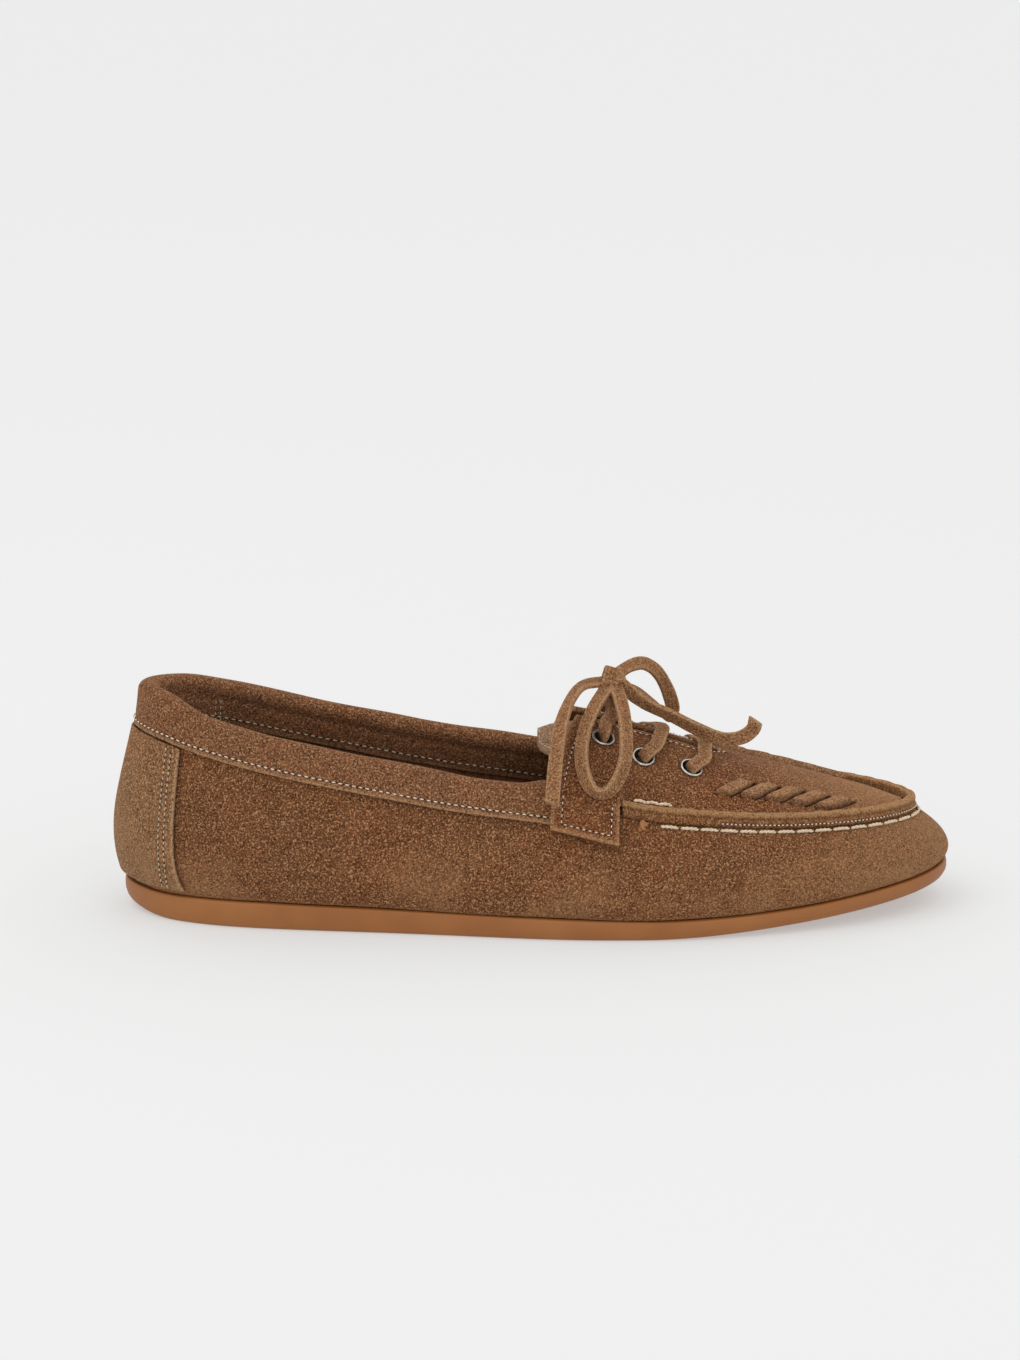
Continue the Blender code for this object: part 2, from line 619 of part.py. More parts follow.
def apron_sheet():
    """Upper surface of the apron and its tabs, as rows along the edge and columns to the axis."""
    ahead = np.sin(np.linspace(0, np.pi / 2, APRON_ROWS)[1:])
    x = np.concatenate([
        np.linspace(TAB_REAR, TAB_FRONT, TAB_ROWS),
        np.linspace(TAB_FRONT + TAB_STEP, SLIT_END - 5.5, 6),
        SLIT_END - np.array([3.5, 1.6, 0.5, 0.0]),
        SLIT_END + (EDGE[EDGE_TIP, 0] - SLIT_END) * ahead])
    outer = np.interp(x, EDGE[:EDGE_TIP + 1, 0], EDGE_S[:EDGE_TIP + 1])
    inner = np.interp(x, EDGE[EDGE_TIP:, 0][::-1], EDGE_S[EDGE_TIP:][::-1])
    s = np.concatenate([outer, inner[:-1][::-1]])
    x = np.concatenate([x, x[:-1][::-1]])
    edge = apron_edge_point(s)
    edge[:, 0] = x
    share = np.clip((edge[:, 0] - TAB_REAR) / (SLIT_END - TAB_REAR), 0, 1)
    axis_x = np.where(edge[:, 0] < SLIT_END, SLIT_REAR + share * (SLIT_END - SLIT_REAR), edge[:, 0])
    axis_x = np.minimum(axis_x, APRON_AXIS_END)
    side = np.where(s < TOE_S, -1.0, 1.0)
    target_y = axis_y(axis_x) + side * slit_half(axis_x)
    r = np.linspace(0, 1, 7)[None, :]
    x = edge[:, :1] * (1 - r) + axis_x[:, None] * r
    y = edge[:, 1:2] * (1 - r) + target_y[:, None] * r
    z = apron_height(x, y)
    upper_face = np.stack([x, y, z], axis=2)
    upper_face[:, 0] = edge
    normal = apron_normal(x, y)
    hug = smoothstep(0.0, 0.35, r)[..., None]
    sideways = np.concatenate([edge[:, None, :2] - upper_face[:, 1:2, :2], np.zeros((len(s), 1, 1))], axis=2)
    sideways /= np.linalg.norm(sideways, axis=2)[:, :, None]
    at_tab = (1 - smoothstep(TAB_FRONT, TAB_FRONT + TAB_STEP, edge[:, 0]))[:, None, None]
    normal = normal * (1 - at_tab * (1 - hug)) + sideways * at_tab * (1 - hug)
    normal /= np.linalg.norm(normal, axis=2)[:, :, None]
    return s, upper_face, upper_face - normal * APRON


def tab_sheet(s, edge, depth):
    """The tab below the apron's edge, hugging the wall outside the collar."""
    rows = []
    for value, top in zip(s, edge):
        t = t_below_top(value, np.array([TAB_DROP, TAB_DROP * 0.5]))[0]
        rows.append(np.vstack([wall(value, t, depth)[0], top]))
    return np.array(rows)


def apron():
    """One piece of suede: lacing facings, tabs and toe apron, with its holes and slots cut."""
    s, face, under = apron_sheet()
    bm = bmesh.new()
    for sheet, depth in ((face, TAB_DEPTH), (under, TAB_DEPTH + APRON)):
        add_sheet(bm, sheet)
        for rows in (slice(0, TAB_ROWS), slice(len(s) - TAB_ROWS, len(s))):
            add_sheet(bm, tab_sheet(s[rows], sheet[rows, 0], depth))
    bmesh.ops.remove_doubles(bm, verts=bm.verts, dist=0.01)
    bmesh.ops.bridge_loops(bm, edges=[edge for edge in bm.edges if edge.is_boundary])
    made = finish("apron", bm, SUEDE_LOOK)
    cut = made.modifiers.new("holes_and_slots", "BOOLEAN")
    cut.operation = "DIFFERENCE"
    cut.solver = "EXACT"
    cut.use_self = True
    cut.object = apron_cutter()
    return made


def eyelet_places():
    """(name, x, y) of every eyelet."""
    places = []
    for number, (x, out) in enumerate(EYELETS, start=1):
        for side_name, side in (("outer", -1), ("inner", 1)):
            places.append((f"eyelet_{side_name}_{number}", x, float(axis_y(x)) + side * out))
    return places


def upright(x, y, lift=0.0):
    """A matrix that stands a piece on the apron at x, y."""
    normal = Vector(apron_normal(np.float64(x), np.float64(y)))
    place = Vector(over_apron(x, y, lift))
    return Matrix.Translation(place) @ normal.to_track_quat("Z", "Y").to_matrix().to_4x4()


def weave_row(side, along):
    """x, y of the middle of a woven strip, a distance along its row."""
    share = along / (WEAVE_PITCH * WEAVE_COUNT)
    x = WEAVE_START + along
    first, last = WEAVE_OUT[side]
    out = first + (last - first) * share
    return x, axis_y(x) + side * out


def weave_slots():
    """Distances along the row where the strip passes through the apron."""
    return [k * WEAVE_PITCH + offset for k in range(WEAVE_COUNT) for offset in (0.3, 0.3 + WEAVE_OVER)]


def apron_cutter():
    """Every hole and slot of the apron as one hidden cutter."""
    bm = bmesh.new()
    for _, x, y in eyelet_places():
        bmesh.ops.create_cone(bm, cap_ends=True, segments=14, radius1=EYELET_HOLE, radius2=EYELET_HOLE,
                              depth=8.0, matrix=upright(x, y))
    for side in (-1, 1):
        for along in weave_slots():
            x, y = weave_row(side, along)
            slant = math.atan2(-side * WEAVE_SLANT[1], WEAVE_SLANT[0])
            length = 2 * math.hypot(*WEAVE_SLANT) + 2.4
            normal = Vector(apron_normal(np.float64(x), np.float64(y)))
            forward = Vector((math.cos(slant), math.sin(slant), 0))
            forward.z = -forward.dot(normal) / normal.z
            forward.normalize()
            turn = Matrix((forward, normal.cross(forward), normal)).transposed().to_4x4()
            place = Matrix.Translation(Vector(over_apron(x, y, -0.7))) @ turn
            size = Matrix.Diagonal((length, WEAVE_SLOT, 7.0, 1.0))
            bmesh.ops.create_cube(bm, size=1.0, matrix=place @ size)
    cutter = finish("apron_cutter", bm, SUEDE_LOOK)
    cutter.hide_render = True
    cutter.display_type = "WIRE"
    return cutter


def eyelets():
    """Metal eyelets, turned from one profile: top flange, barrel, clenched lower flange."""
    profile = [
        (EYELET_BORE, 1.0), (3.0, 1.2), (3.5, 0.6), (2.6, 0.6),
        (2.6, -APRON - 0.7), (3.2, -APRON - 0.7), (3.0, -APRON - 1.1), (EYELET_BORE, -APRON - 1.0),
    ]
    for name, x, y in eyelet_places():
        bm = bmesh.new()
        ring = [bm.verts.new((radius, 0, z)) for radius, z in profile]
        edges = [bm.edges.new((ring[i], ring[(i + 1) % len(ring)])) for i in range(len(ring))]
        bmesh.ops.spin(bm, geom=ring + edges, cent=(0, 0, 0), axis=(0, 0, 1), angle=2 * math.pi,
                       steps=14, use_merge=True)
        bmesh.ops.transform(bm, matrix=upright(x, y), verts=bm.verts)
        finish(name, bm, METAL_LOOK)


# ------------------------------------------------------------------ woven strips

def weave_profile():
    """The strip's run and height: over the apron, down a slot, under it and up the next."""
    over, under, soft = 1.0, -APRON - 1.0, 0.45
    points = []
    for k in range(WEAVE_COUNT):
        start = k * WEAVE_PITCH + 0.3
        end = start + WEAVE_OVER
        points += [(start, under + soft), (start, over - soft), (start + soft, over),
                   ((start + end) / 2, over + 0.35), (end - soft, over), (end, over - soft), (end, under + soft)]
        if k < WEAVE_COUNT - 1:
            points += [(end + soft, under), (end + WEAVE_PITCH - WEAVE_OVER - soft, under)]
    return np.array(points)


def offset_line(line, distance):
    """A flat line moved sideways, with its corners mitred."""
    steps = np.diff(line, axis=0)
    steps /= np.linalg.norm(steps, axis=1)[:, None]
    normals = np.column_stack([-steps[:, 1], steps[:, 0]])
    joint = np.vstack([normals[:1], normals[:-1] + normals[1:], normals[-1:]])
    length = np.linalg.norm(joint, axis=1)
    unit = joint / length[:, None]
    first = np.vstack([normals[:1], normals[:-1], normals[-1:]])
    stretch = 1 / np.maximum((unit * first).sum(axis=1), 0.5)
    return line + unit * (stretch * distance)[:, None]


def woven_strips():
    middle = weave_profile()
    for name, side in (("woven_strip_outer", -1), ("woven_strip_inner", 1)):
        faces = []
        for distance in (WEAVE_STRIP / 2, -WEAVE_STRIP / 2):
            line = offset_line(middle, distance)
            grid = []
            for along, height in line:
                x, y = weave_row(side, along)
                lift = apron_normal(np.float64(x), np.float64(y)) * height
                grid.append([
                    over_apron(x + c * WEAVE_SLANT[0], y - side * c * WEAVE_SLANT[1], 0.0) + lift
                    for c in (-1.0, 0.0, 1.0)])
            faces.append(np.array(grid))
        shell(name, faces[0], faces[1], LACE_LOOK)


# ------------------------------------------------------------------ tongue

def tongue():
    """A tapered flap under the slit, sewn in at its front and rounded at its free end."""
    x = TONGUE_REAR + (TONGUE_FRONT - TONGUE_REAR) * np.linspace(0, 1, 15) ** 1.3
    from_end = np.clip((x - TONGUE_REAR) / TONGUE_ROUND, 0, 1)
    round_end = np.sqrt(np.maximum(1 - (1 - from_end) ** 2, 0.02))
    half = TONGUE_HALF * round_end * (1 - 0.25 * np.clip((x - 20) / 40, 0, 1))
    across = np.linspace(-1, 1, 7)
    tip_droop = TONGUE_DROOP * np.clip((18 - x) / 18, 0, 1) ** 1.3
    side_droop = TONGUE_SIDE_DROOP * np.clip((14 - x) / 12, 0, 1)
    droop = tip_droop[:, None] + side_droop[:, None] * across ** 2
    y = axis_y(x)[:, None] + half[:, None] * across
    wide_x = np.repeat(x[:, None], len(across), axis=1)
    front = over_apron(wide_x, y, -TONGUE_UNDER)
    back = over_apron(wide_x, y, -TONGUE_UNDER - TONGUE)
    front[:, :, 2] -= droop
    back[:, :, 2] -= droop
    shell("tongue", front, back, SUEDE_LOOK)


# ------------------------------------------------------------------ lace

def smooth_line(points, step):
    """Points about a step apart on a smooth curve through the given ones."""
    p = np.array(points, float)
    p = np.vstack([2 * p[0] - p[1], p, 2 * p[-1] - p[-2]])
    line = []
    for a, b, c, d in zip(p, p[1:], p[2:], p[3:]):
        count = max(1, round(np.linalg.norm(c - b) / step))
        for t in np.arange(count) / count:
            line.append(0.5 * (2 * b + (c - a) * t + (2 * a - 5 * b + 4 * c - d) * t ** 2
                               + (3 * b - a - 3 * c + d) * t ** 3))
    line.append(p[-2])
    return np.array(line)


def knot_root(direction):
    """Where a lace meets the knot, leaving the gap between them."""
    return np.array(KNOT_CENTRE + Vector(direction).normalized() * (KNOT_RADIUS + 2 * GAP))


def lace_knot():
    bm = bmesh.new()
    bmesh.ops.create_icosphere(bm, subdivisions=2, radius=KNOT_RADIUS, matrix=Matrix.Translation(KNOT_CENTRE))
    finish("lace_knot", bm, LACE_LOOK)


def lace_through_eyelets():
    """The two bars across the slit, and the laces that rise from the rear eyelets to the knot."""
    places = {name: (x, y) for name, x, y in eyelet_places()}
    for name, number, sag in LACE_BARS:
        outer, inner = places[f"eyelet_outer_{number}"], places[f"eyelet_inner_{number}"]
        points = [over_apron(outer[0], outer[1] + shift, lift) for shift, lift in EYELET_EXIT]
        for share in (0.3, 0.5, 0.7):
            bow = math.sin(math.pi * share)
            points.append(over_apron(outer[0] + sag * bow, outer[1] + (inner[1] - outer[1]) * share, 2.6 - bow))
        points += [over_apron(inner[0], inner[1] - shift, lift) for shift, lift in EYELET_EXIT[::-1]]
        tube(name, smooth_line(points, 3.0), LACE_RADIUS, LACE_LOOK)
    for name, eyelet, side in (("lace_riser_outer", "eyelet_outer_1", -1), ("lace_riser_inner", "eyelet_inner_1", 1)):
        x, y = places[eyelet]
        points = [over_apron(x, y - side * shift, lift) for shift, lift in EYELET_EXIT]
        points += [over_apron(x + 1.8, y - side * 8.0, 3.2), knot_root((0.0, side * 0.45, -0.9))]
        tube(name, smooth_line(points, 3.0), LACE_RADIUS, LACE_LOOK)


def lace_bow():
    for name, (leaving, points, returning) in BOW.items():
        route = [knot_root(leaving)] + points
        if returning:
            route.append(knot_root(returning))
        tube(name, smooth_line(route, 5.0), LACE_RADIUS, LACE_LOOK)


def main():
    for old in list(bpy.data.objects):
        bpy.data.objects.remove(old)
    sole_stack()
    upper_walls()
    heel_panel()
    linings()
    collar()
    seam_rim()
    seam_thread()
    apron()
    eyelets()
    woven_strips()
    tongue()
    lace_knot()
    lace_through_eyelets()
    lace_bow()


main()
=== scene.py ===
# %% [markdown]
# # A suede moccasin, piece by piece
# This lesson builds a soft suede shoe with a hand-sewn apron, a rubber sole and a flat lace tied
# in a bow. The shoe's solids already exist in a fixed frame, in metres: the toe points along +X,
# the inner side of the foot along +Y and the sole rests on z = 0. Each new piece is laid into the
# place its solid holds. Lengths below are in millimetres and become metres when a mesh is made.

# %% Load the frame
import math

import bmesh
import bpy
import numpy as np
from mathutils import Matrix, Vector, noise
from mathutils.kdtree import KDTree


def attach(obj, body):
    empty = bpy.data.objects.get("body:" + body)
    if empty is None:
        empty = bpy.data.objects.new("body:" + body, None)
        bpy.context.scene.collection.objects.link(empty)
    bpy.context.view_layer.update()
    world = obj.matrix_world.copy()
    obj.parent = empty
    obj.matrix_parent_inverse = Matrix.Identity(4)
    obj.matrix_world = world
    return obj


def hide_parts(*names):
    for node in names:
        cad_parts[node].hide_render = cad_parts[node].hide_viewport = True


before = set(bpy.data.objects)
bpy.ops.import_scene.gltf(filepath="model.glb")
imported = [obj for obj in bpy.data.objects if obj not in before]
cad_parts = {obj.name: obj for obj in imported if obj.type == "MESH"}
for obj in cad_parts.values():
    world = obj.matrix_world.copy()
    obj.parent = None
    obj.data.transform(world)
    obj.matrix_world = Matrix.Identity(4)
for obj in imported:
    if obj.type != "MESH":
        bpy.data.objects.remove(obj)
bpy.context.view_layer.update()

MM = 0.001

# %% [markdown]
# ## Camera
# A long lens from a little over a metre away keeps the shoe's proportions true. The camera looks
# along the shoe's outer side from slightly above, aimed at a point above the middle of the sole.

# %% Camera
CAMERA_AIM = Vector((-0.0070, 0.0, 0.0695))
CAMERA_TURN = math.radians(-0.58)
CAMERA_RISE = math.radians(13.95)
CAMERA_DISTANCE = 1.3


def placed(name, data):
    """A new object, linked into the scene."""
    made = bpy.data.objects.new(name, data)
    bpy.context.scene.collection.objects.link(made)
    return made


lens = bpy.data.cameras.new("camera")
lens.sensor_fit = "VERTICAL"
lens.sensor_height = 36.0
lens.lens = 114.18
lens.clip_start = 0.01
camera = placed("camera", lens)
back = Vector((
    math.sin(CAMERA_TURN) * math.cos(CAMERA_RISE),
    -math.cos(CAMERA_TURN) * math.cos(CAMERA_RISE),
    math.sin(CAMERA_RISE)))
camera.location = CAMERA_AIM + back * CAMERA_DISTANCE
camera.rotation_euler = back.to_track_quat("Z", "Y").to_euler()
bpy.context.scene.camera = camera
print("camera at", tuple(round(v, 3) for v in camera.location))

# %% [markdown]
# ## Shared effects
# Suede is leather with its fibres brushed up. Close to, it shows a fine salt-and-pepper speckle;
# from further off, soft patches where the nap lies another way. One shader group makes both, and
# adds dust low down near the ground and pale, frayed fibres along cut edges. Building it once lets
# every suede in the shoe share the same grain with its own colours. The group reads the Object
# coordinates in metres, so a noise scale of 1000 has features about a millimetre across.

# %% Helpers for node trees
def srgb(red, green, blue):
    """A linear colour from the 0 to 255 values of a colour picker."""
    def linear(value):
        value = value / 255
        return value / 12.92 if value <= 0.04045 else ((value + 0.055) / 1.055) ** 2.4
    return (linear(red), linear(green), linear(blue), 1.0)


def add_node(tree, kind, inputs, **settings):
    """A node with its settings and inputs: a socket given for an input is linked, a value is set."""
    node = tree.nodes.new("ShaderNode" + kind)
    for title, value in settings.items():
        setattr(node, title, value)
    for title, value in inputs.items():
        if isinstance(value, bpy.types.NodeSocket):
            tree.links.new(value, node.inputs[title])
        else:
            node.inputs[title].default_value = value
    return node


def noise_node(tree, place, scale, detail=2.0, rough=0.5, distortion=0.0):
    return add_node(tree, "TexNoise", {
        "Vector": place, "Scale": scale, "Detail": detail, "Roughness": rough,
        "Distortion": distortion}).outputs["Fac"]


def ramp(tree, value, low, high, to_low=0.0, to_high=1.0):
    """The value, spread from low and high to two new ends."""
    return add_node(tree, "MapRange", {
        "Value": value, "From Min": low, "From Max": high, "To Min": to_low,
        "To Max": to_high}).outputs["Result"]


def maths(tree, kind, first, second):
    return add_node(tree, "Math", {0: first, 1: second}, operation=kind).outputs[0]


def mixed(tree, amount, first, second, kind="MIX"):
    """Two colours mixed by an amount."""
    return add_node(tree, "Mix", {0: amount, 6: first, 7: second}, data_type="RGBA", blend_type=kind,
                    clamp_factor=True).outputs[2]


def new_group(name, inputs, outputs):
    """A shader group with named sockets; each input is (name, kind, default)."""
    tree = bpy.data.node_groups.new(name, "ShaderNodeTree")
    for title, kind, default in inputs:
        socket = tree.interface.new_socket(title, in_out="INPUT", socket_type="NodeSocket" + kind)
        socket.default_value = default
    for title, kind in outputs:
        tree.interface.new_socket(title, in_out="OUTPUT", socket_type="NodeSocket" + kind)
    return tree, tree.nodes.new("NodeGroupInput").outputs, tree.nodes.new("NodeGroupOutput").inputs


print("node helpers ready")

# %% The suede nap group
nap, given, result = new_group(
    "suede_nap",
    [("Base", "Color", srgb(124, 84, 58)), ("Warm", "Color", srgb(132, 78, 48)),
     ("Dust", "Color", srgb(146, 114, 88)), ("Fray", "Color", srgb(176, 142, 112)),
     ("Contrast", "Float", 1.0), ("Dust Height", "Float", 0.01), ("Dust Amount", "Float", 0.0),
     ("Toe Dust", "Float", 0.0)],
    [("Color", "Color"), ("Height", "Float")])
coords = add_node(nap, "TexCoord", {}).outputs["Object"]

patches = ramp(nap, noise_node(nap, coords, 34, 3.0, 0.55, 0.6), 0.38, 0.68, 0.0, 0.8)
tone = mixed(nap, patches, given["Base"], given["Warm"])
brushed = ramp(nap, noise_node(nap, coords, 120, 4.0, 0.6, 0.8), 0.3, 0.7, 0.86, 1.13)
speckle = noise_node(nap, coords, 1500, 2.0, 0.6)
fibre = noise_node(nap, coords, 2900, 0.0, 0.5)
salt = maths(nap, "ADD", maths(nap, "MULTIPLY", speckle, 0.6), maths(nap, "MULTIPLY", fibre, 0.4))
swing = maths(nap, "MULTIPLY", ramp(nap, salt, 0.37, 0.63, -0.68, 0.60), given["Contrast"])
shade = maths(nap, "MULTIPLY", maths(nap, "ADD", swing, 1.0), brushed)
grey = add_node(nap, "CombineColor", {0: shade, 1: shade, 2: shade}).outputs[0]
tone = mixed(nap, 1.0, tone, grey, "MULTIPLY")
fleck = ramp(nap, noise_node(nap, coords, 1900, 1.0, 0.5), 0.54, 0.68, 0.0, 0.95)
tone = mixed(nap, maths(nap, "MULTIPLY", fleck, given["Contrast"]), tone, given["Fray"])

parts = add_node(nap, "SeparateXYZ", {0: coords}).outputs
cloud = ramp(nap, noise_node(nap, coords, 42, 3.0, 0.6), 0.46, 0.62)
low = maths(nap, "DIVIDE", parts["Z"], given["Dust Height"])
low = maths(nap, "MULTIPLY", ramp(nap, low, 0.45, 1.1, 1.0, 0.0), cloud)
front = maths(nap, "MULTIPLY", ramp(nap, parts["X"], 0.070, 0.119), given["Toe Dust"])
dusty = maths(nap, "ADD", maths(nap, "MULTIPLY", low, given["Dust Amount"]), front)
dusty = maths(nap, "MULTIPLY", dusty, ramp(nap, salt, 0.38, 0.6, 0.35, 1.2))
tone = mixed(nap, dusty, tone, given["Dust"])

near_cut = add_node(nap, "Attribute", {}, attribute_name="edge").outputs["Fac"]
frayed = maths(nap, "MULTIPLY", near_cut, ramp(nap, salt, 0.36, 0.58, 0.15, 1.0))
nap.links.new(mixed(nap, frayed, tone, given["Fray"]), result["Color"])
height = maths(nap, "ADD", maths(nap, "MULTIPLY", speckle, 0.7), maths(nap, "MULTIPLY", fibre, 0.3))
nap.links.new(maths(nap, "ADD", height, maths(nap, "MULTIPLY", brushed, 0.6)), result["Height"])
print("group", nap.name, "with", len(nap.nodes), "nodes")

# %% [markdown]
# ## Materials
# A material keeps its own Principled shader and places the shared group in front of it. Sheen is
# what makes suede look soft: a faint pale glow where the surface turns away from the eye. It is
# the same all over, so it is set on the shader's own socket.

# %% Material maker
def principled(name, values):
    """A material with its tree and its Principled shader, whose sockets hold the values."""
    made = bpy.data.materials.new(name)
    made.use_nodes = True
    shader = made.node_tree.nodes["Principled BSDF"]
    for title, value in values.items():
        shader.inputs[title].default_value = value
    return made, made.node_tree, shader


def bump(tree, shader, height, strength, distance):
    node = add_node(tree, "Bump", {"Strength": strength, "Distance": distance, "Height": height})
    tree.links.new(node.outputs["Normal"], shader.inputs["Normal"])


def suede(name, base, warm, fray, dust=(146, 114, 88), **values):
    """A suede whose colours are 0 to 255 triples."""
    made, tree, shader = principled(name, {
        "Roughness": 0.96, "Sheen Weight": 0.22, "Sheen Roughness": 0.45,
        "Sheen Tint": srgb(205, 165, 130), "Specular IOR Level": 0.12})
    group = tree.nodes.new("ShaderNodeGroup")
    group.node_tree = nap
    for title, colour in (("Base", base), ("Warm", warm), ("Dust", dust), ("Fray", fray)):
        group.inputs[title].default_value = srgb(*colour)
    for title, value in values.items():
        group.inputs[title.replace("_", " ")].default_value = value
    tree.links.new(group.outputs["Color"], shader.inputs["Base Color"])
    bump(tree, shader, group.outputs["Height"], 0.55, 0.0006)
    return made


print("material maker ready")

# %% The suedes
WALL_SUEDE = suede("wall_suede", (103, 66, 41), (109, 65, 37), (174, 130, 92), (158, 117, 81),
                   Dust_Height=0.026, Dust_Amount=0.48, Toe_Dust=0.55)
HEEL_SUEDE = suede("heel_suede", (123, 86, 56), (123, 81, 50), (176, 141, 108), (150, 115, 83),
                   Dust_Height=0.040, Dust_Amount=0.5)
COLLAR_SUEDE = suede("collar_suede", (113, 75, 50), (114, 71, 43), (172, 131, 96))
APRON_SUEDE = suede("apron_suede", (106, 66, 41), (109, 63, 36), (174, 129, 90), (164, 121, 82),
                    Toe_Dust=0.85)
RIM_SUEDE = suede("rim_suede", (117, 78, 49), (121, 76, 44), (170, 129, 90), (154, 113, 76),
                  Toe_Dust=0.4)
TONGUE_SUEDE = suede("tongue_suede", (144, 113, 88), (138, 103, 77), (160, 131, 106))
LACE_SUEDE = suede("lace_suede", (129, 89, 59), (128, 83, 52), (180, 141, 104), Contrast=0.9)
BAR_SUEDE = suede("bar_suede", (142, 103, 73), (140, 97, 66), (184, 146, 110), Contrast=0.8)
LINING_SUEDE = suede("lining_suede", (130, 92, 64), (125, 84, 57), (152, 118, 90), Contrast=0.8)
SOCK_SUEDE = suede("sock_suede", (94, 68, 51), (88, 61, 44), (126, 97, 78), Contrast=0.7)
HEEL_LINING = suede("heel_lining_suede", (112, 95, 76), (104, 85, 66), (128, 110, 92), Contrast=0.7)
# Painted shade: the dark colour of the discs that stand for the shade in and round each needle hole.
NEEDLE_HOLE_SHADE = suede("needle_hole_shade", (52, 34, 24), (48, 30, 20), (60, 40, 28))
print("suedes:", [m.name for m in bpy.data.materials if "suede" in m.name])

# %% [markdown]
# Rubber, thread and metal are simpler: two close colours in a soft noise and a fine bump. Rubber
# is smooth, thread is matte, and the eyelets are bright metal.

# %% Rubber, thread, board, cork and metal
def simple(name, colour, other, scale, roughness, bump_scale, strength, metallic=0.0):
    made, tree, shader = principled(name, {"Roughness": roughness, "Metallic": metallic})
    place = add_node(tree, "TexCoord", {}).outputs["Object"]
    spots = ramp(tree, noise_node(tree, place, scale, 3.0, 0.55), 0.35, 0.65)
    tree.links.new(mixed(tree, spots, srgb(*colour), srgb(*other)), shader.inputs["Base Color"])
    bump(tree, shader, noise_node(tree, place, bump_scale, 3.0), strength, 0.0004)
    return made


RUBBER = simple("gum_rubber", (147, 87, 34), (155, 97, 42), 45, 0.5, 900, 0.16)
CREAM_YARN = simple("cream_yarn", (232, 212, 184), (214, 192, 160), 900, 0.8, 4200, 0.5)
TAN_YARN = simple("tan_yarn", (176, 124, 72), (150, 100, 56), 900, 0.8, 4200, 0.5)
WHITE_THREAD = simple("white_thread", (232, 224, 206), (214, 204, 184), 1500, 0.7, 6000, 0.4)
PALE_THREAD = simple("pale_thread", (205, 194, 170), (182, 170, 146), 1500, 0.75, 6000, 0.4)
BOARD = simple("insole_board", (150, 130, 100), (132, 112, 84), 300, 0.9, 1600, 0.4)
CORK = simple("cork_filler", (140, 100, 62), (96, 66, 40), 700, 0.95, 900, 0.6)
METAL = simple("eyelet_metal", (214, 212, 206), (176, 174, 168), 700, 0.28, 2500, 0.12, 1.0)
print("materials:", len(bpy.data.materials))

# %% [markdown]
# ## The shoe's shape as functions
# A moccasin is lasted: its wall is one strip of suede pulled round a foot form. So its shape is
# one closed loop of stations round the sole, and a curve that climbs from the sole to the top
# edge at each station. Every layer is the same wall at another depth, and a seam or a row of
# stitches is a line drawn on it, so they always agree with each other.

# %% Stations round the sole
# x and y of the sole's edge, how far the wall's top stands in from it, and the top's height.
STATIONS = np.array([
    (-124.0, 0.0, 6.5, 66.8), (-119.0, -11.5, 6.0, 66.2), (-105.5, -22.0, 5.0, 64.0),
    (-80.0, -29.5, 5.0, 58.2), (-50.0, -33.5, 8.0, 51.6), (-20.0, -37.8, 11.5, 45.8),
    (6.0, -41.5, 14.0, 41.6), (28.0, -42.5, 12.0, 36.6), (50.0, -41.0, 12.0, 33.6),
    (72.0, -36.0, 12.0, 31.3), (92.0, -29.0, 12.0, 30.0), (108.0, -20.5, 12.0, 29.3),
    (120.5, -9.5, 12.5, 28.8), (126.5, 5.0, 12.5, 28.6), (121.5, 21.0, 13.0, 28.8),
    (105.0, 35.0, 13.5, 29.6), (82.0, 43.5, 14.0, 31.0), (56.0, 44.0, 13.5, 33.2),
    (28.0, 38.5, 9.5, 36.6), (0.0, 31.5, 5.5, 42.6), (-28.0, 28.0, 3.5, 47.5),
    (-56.0, 28.5, 3.5, 53.0), (-84.0, 29.5, 5.0, 59.0), (-105.5, 23.0, 5.0, 64.0),
    (-119.0, 12.0, 6.0, 66.2)])


def unit(vectors):
    return vectors / np.linalg.norm(vectors, axis=-1, keepdims=True)


def run_along(points):
    """Distance along a polyline at each of its points."""
    return np.concatenate([[0], np.cumsum(np.linalg.norm(np.diff(points, axis=0), axis=1))])


def along_line(at, run, line):
    """The points of a line at given distances."""
    return np.stack([np.interp(at, run, line[:, k]) for k in range(3)], axis=-1)


def smoothstep(low, high, value):
    t = np.clip((value - low) / (high - low), 0, 1)
    return t * t * (3 - 2 * t)


def periodic_spline(knots, values):
    """A closed cubic spline through rows of values, with knots from 0 to 1."""
    count = len(values)
    spans = np.diff(np.append(knots, 1.0))
    matrix = np.zeros((count, count))
    right = np.zeros_like(values)
    for i in range(count):
        before, after = spans[i - 1], spans[i]
        matrix[i, i - 1] += before
        matrix[i, i] += 2 * (before + after)
        matrix[i, (i + 1) % count] += after
        right[i] = 6 * ((values[(i + 1) % count] - values[i]) / after - (values[i] - values[i - 1]) / before)
    bends = np.linalg.solve(matrix, right)

    def at(s):
        s = np.mod(np.atleast_1d(s), 1.0)
        i = np.searchsorted(knots, s, side="right") - 1
        j = (i + 1) % count
        span = spans[i][:, None]
        b = (s - knots[i])[:, None] / span
        a = 1 - b
        bend = ((a ** 3 - a) * bends[i] + (b ** 3 - b) * bends[j]) * span ** 2 / 6
        return a * values[i] + b * values[j] + bend

    return at


knots = run_along(np.vstack([STATIONS, STATIONS[:1]])[:, :2])
station_at = periodic_spline(knots[:-1] / knots[-1], STATIONS)
DENSE_S = np.linspace(0, 1, 2001)
DENSE = station_at(DENSE_S)
TOE_S = DENSE_S[np.argmax(DENSE[:, 0])]


def s_outer(x):
    """The loop's parameter where the outer side passes x."""
    side = DENSE_S <= TOE_S
    return np.interp(x, DENSE[side, 0], DENSE_S[side])


def s_inner(x):
    side = DENSE_S >= TOE_S
    return np.interp(x, DENSE[side, 0][::-1], DENSE_S[side][::-1])


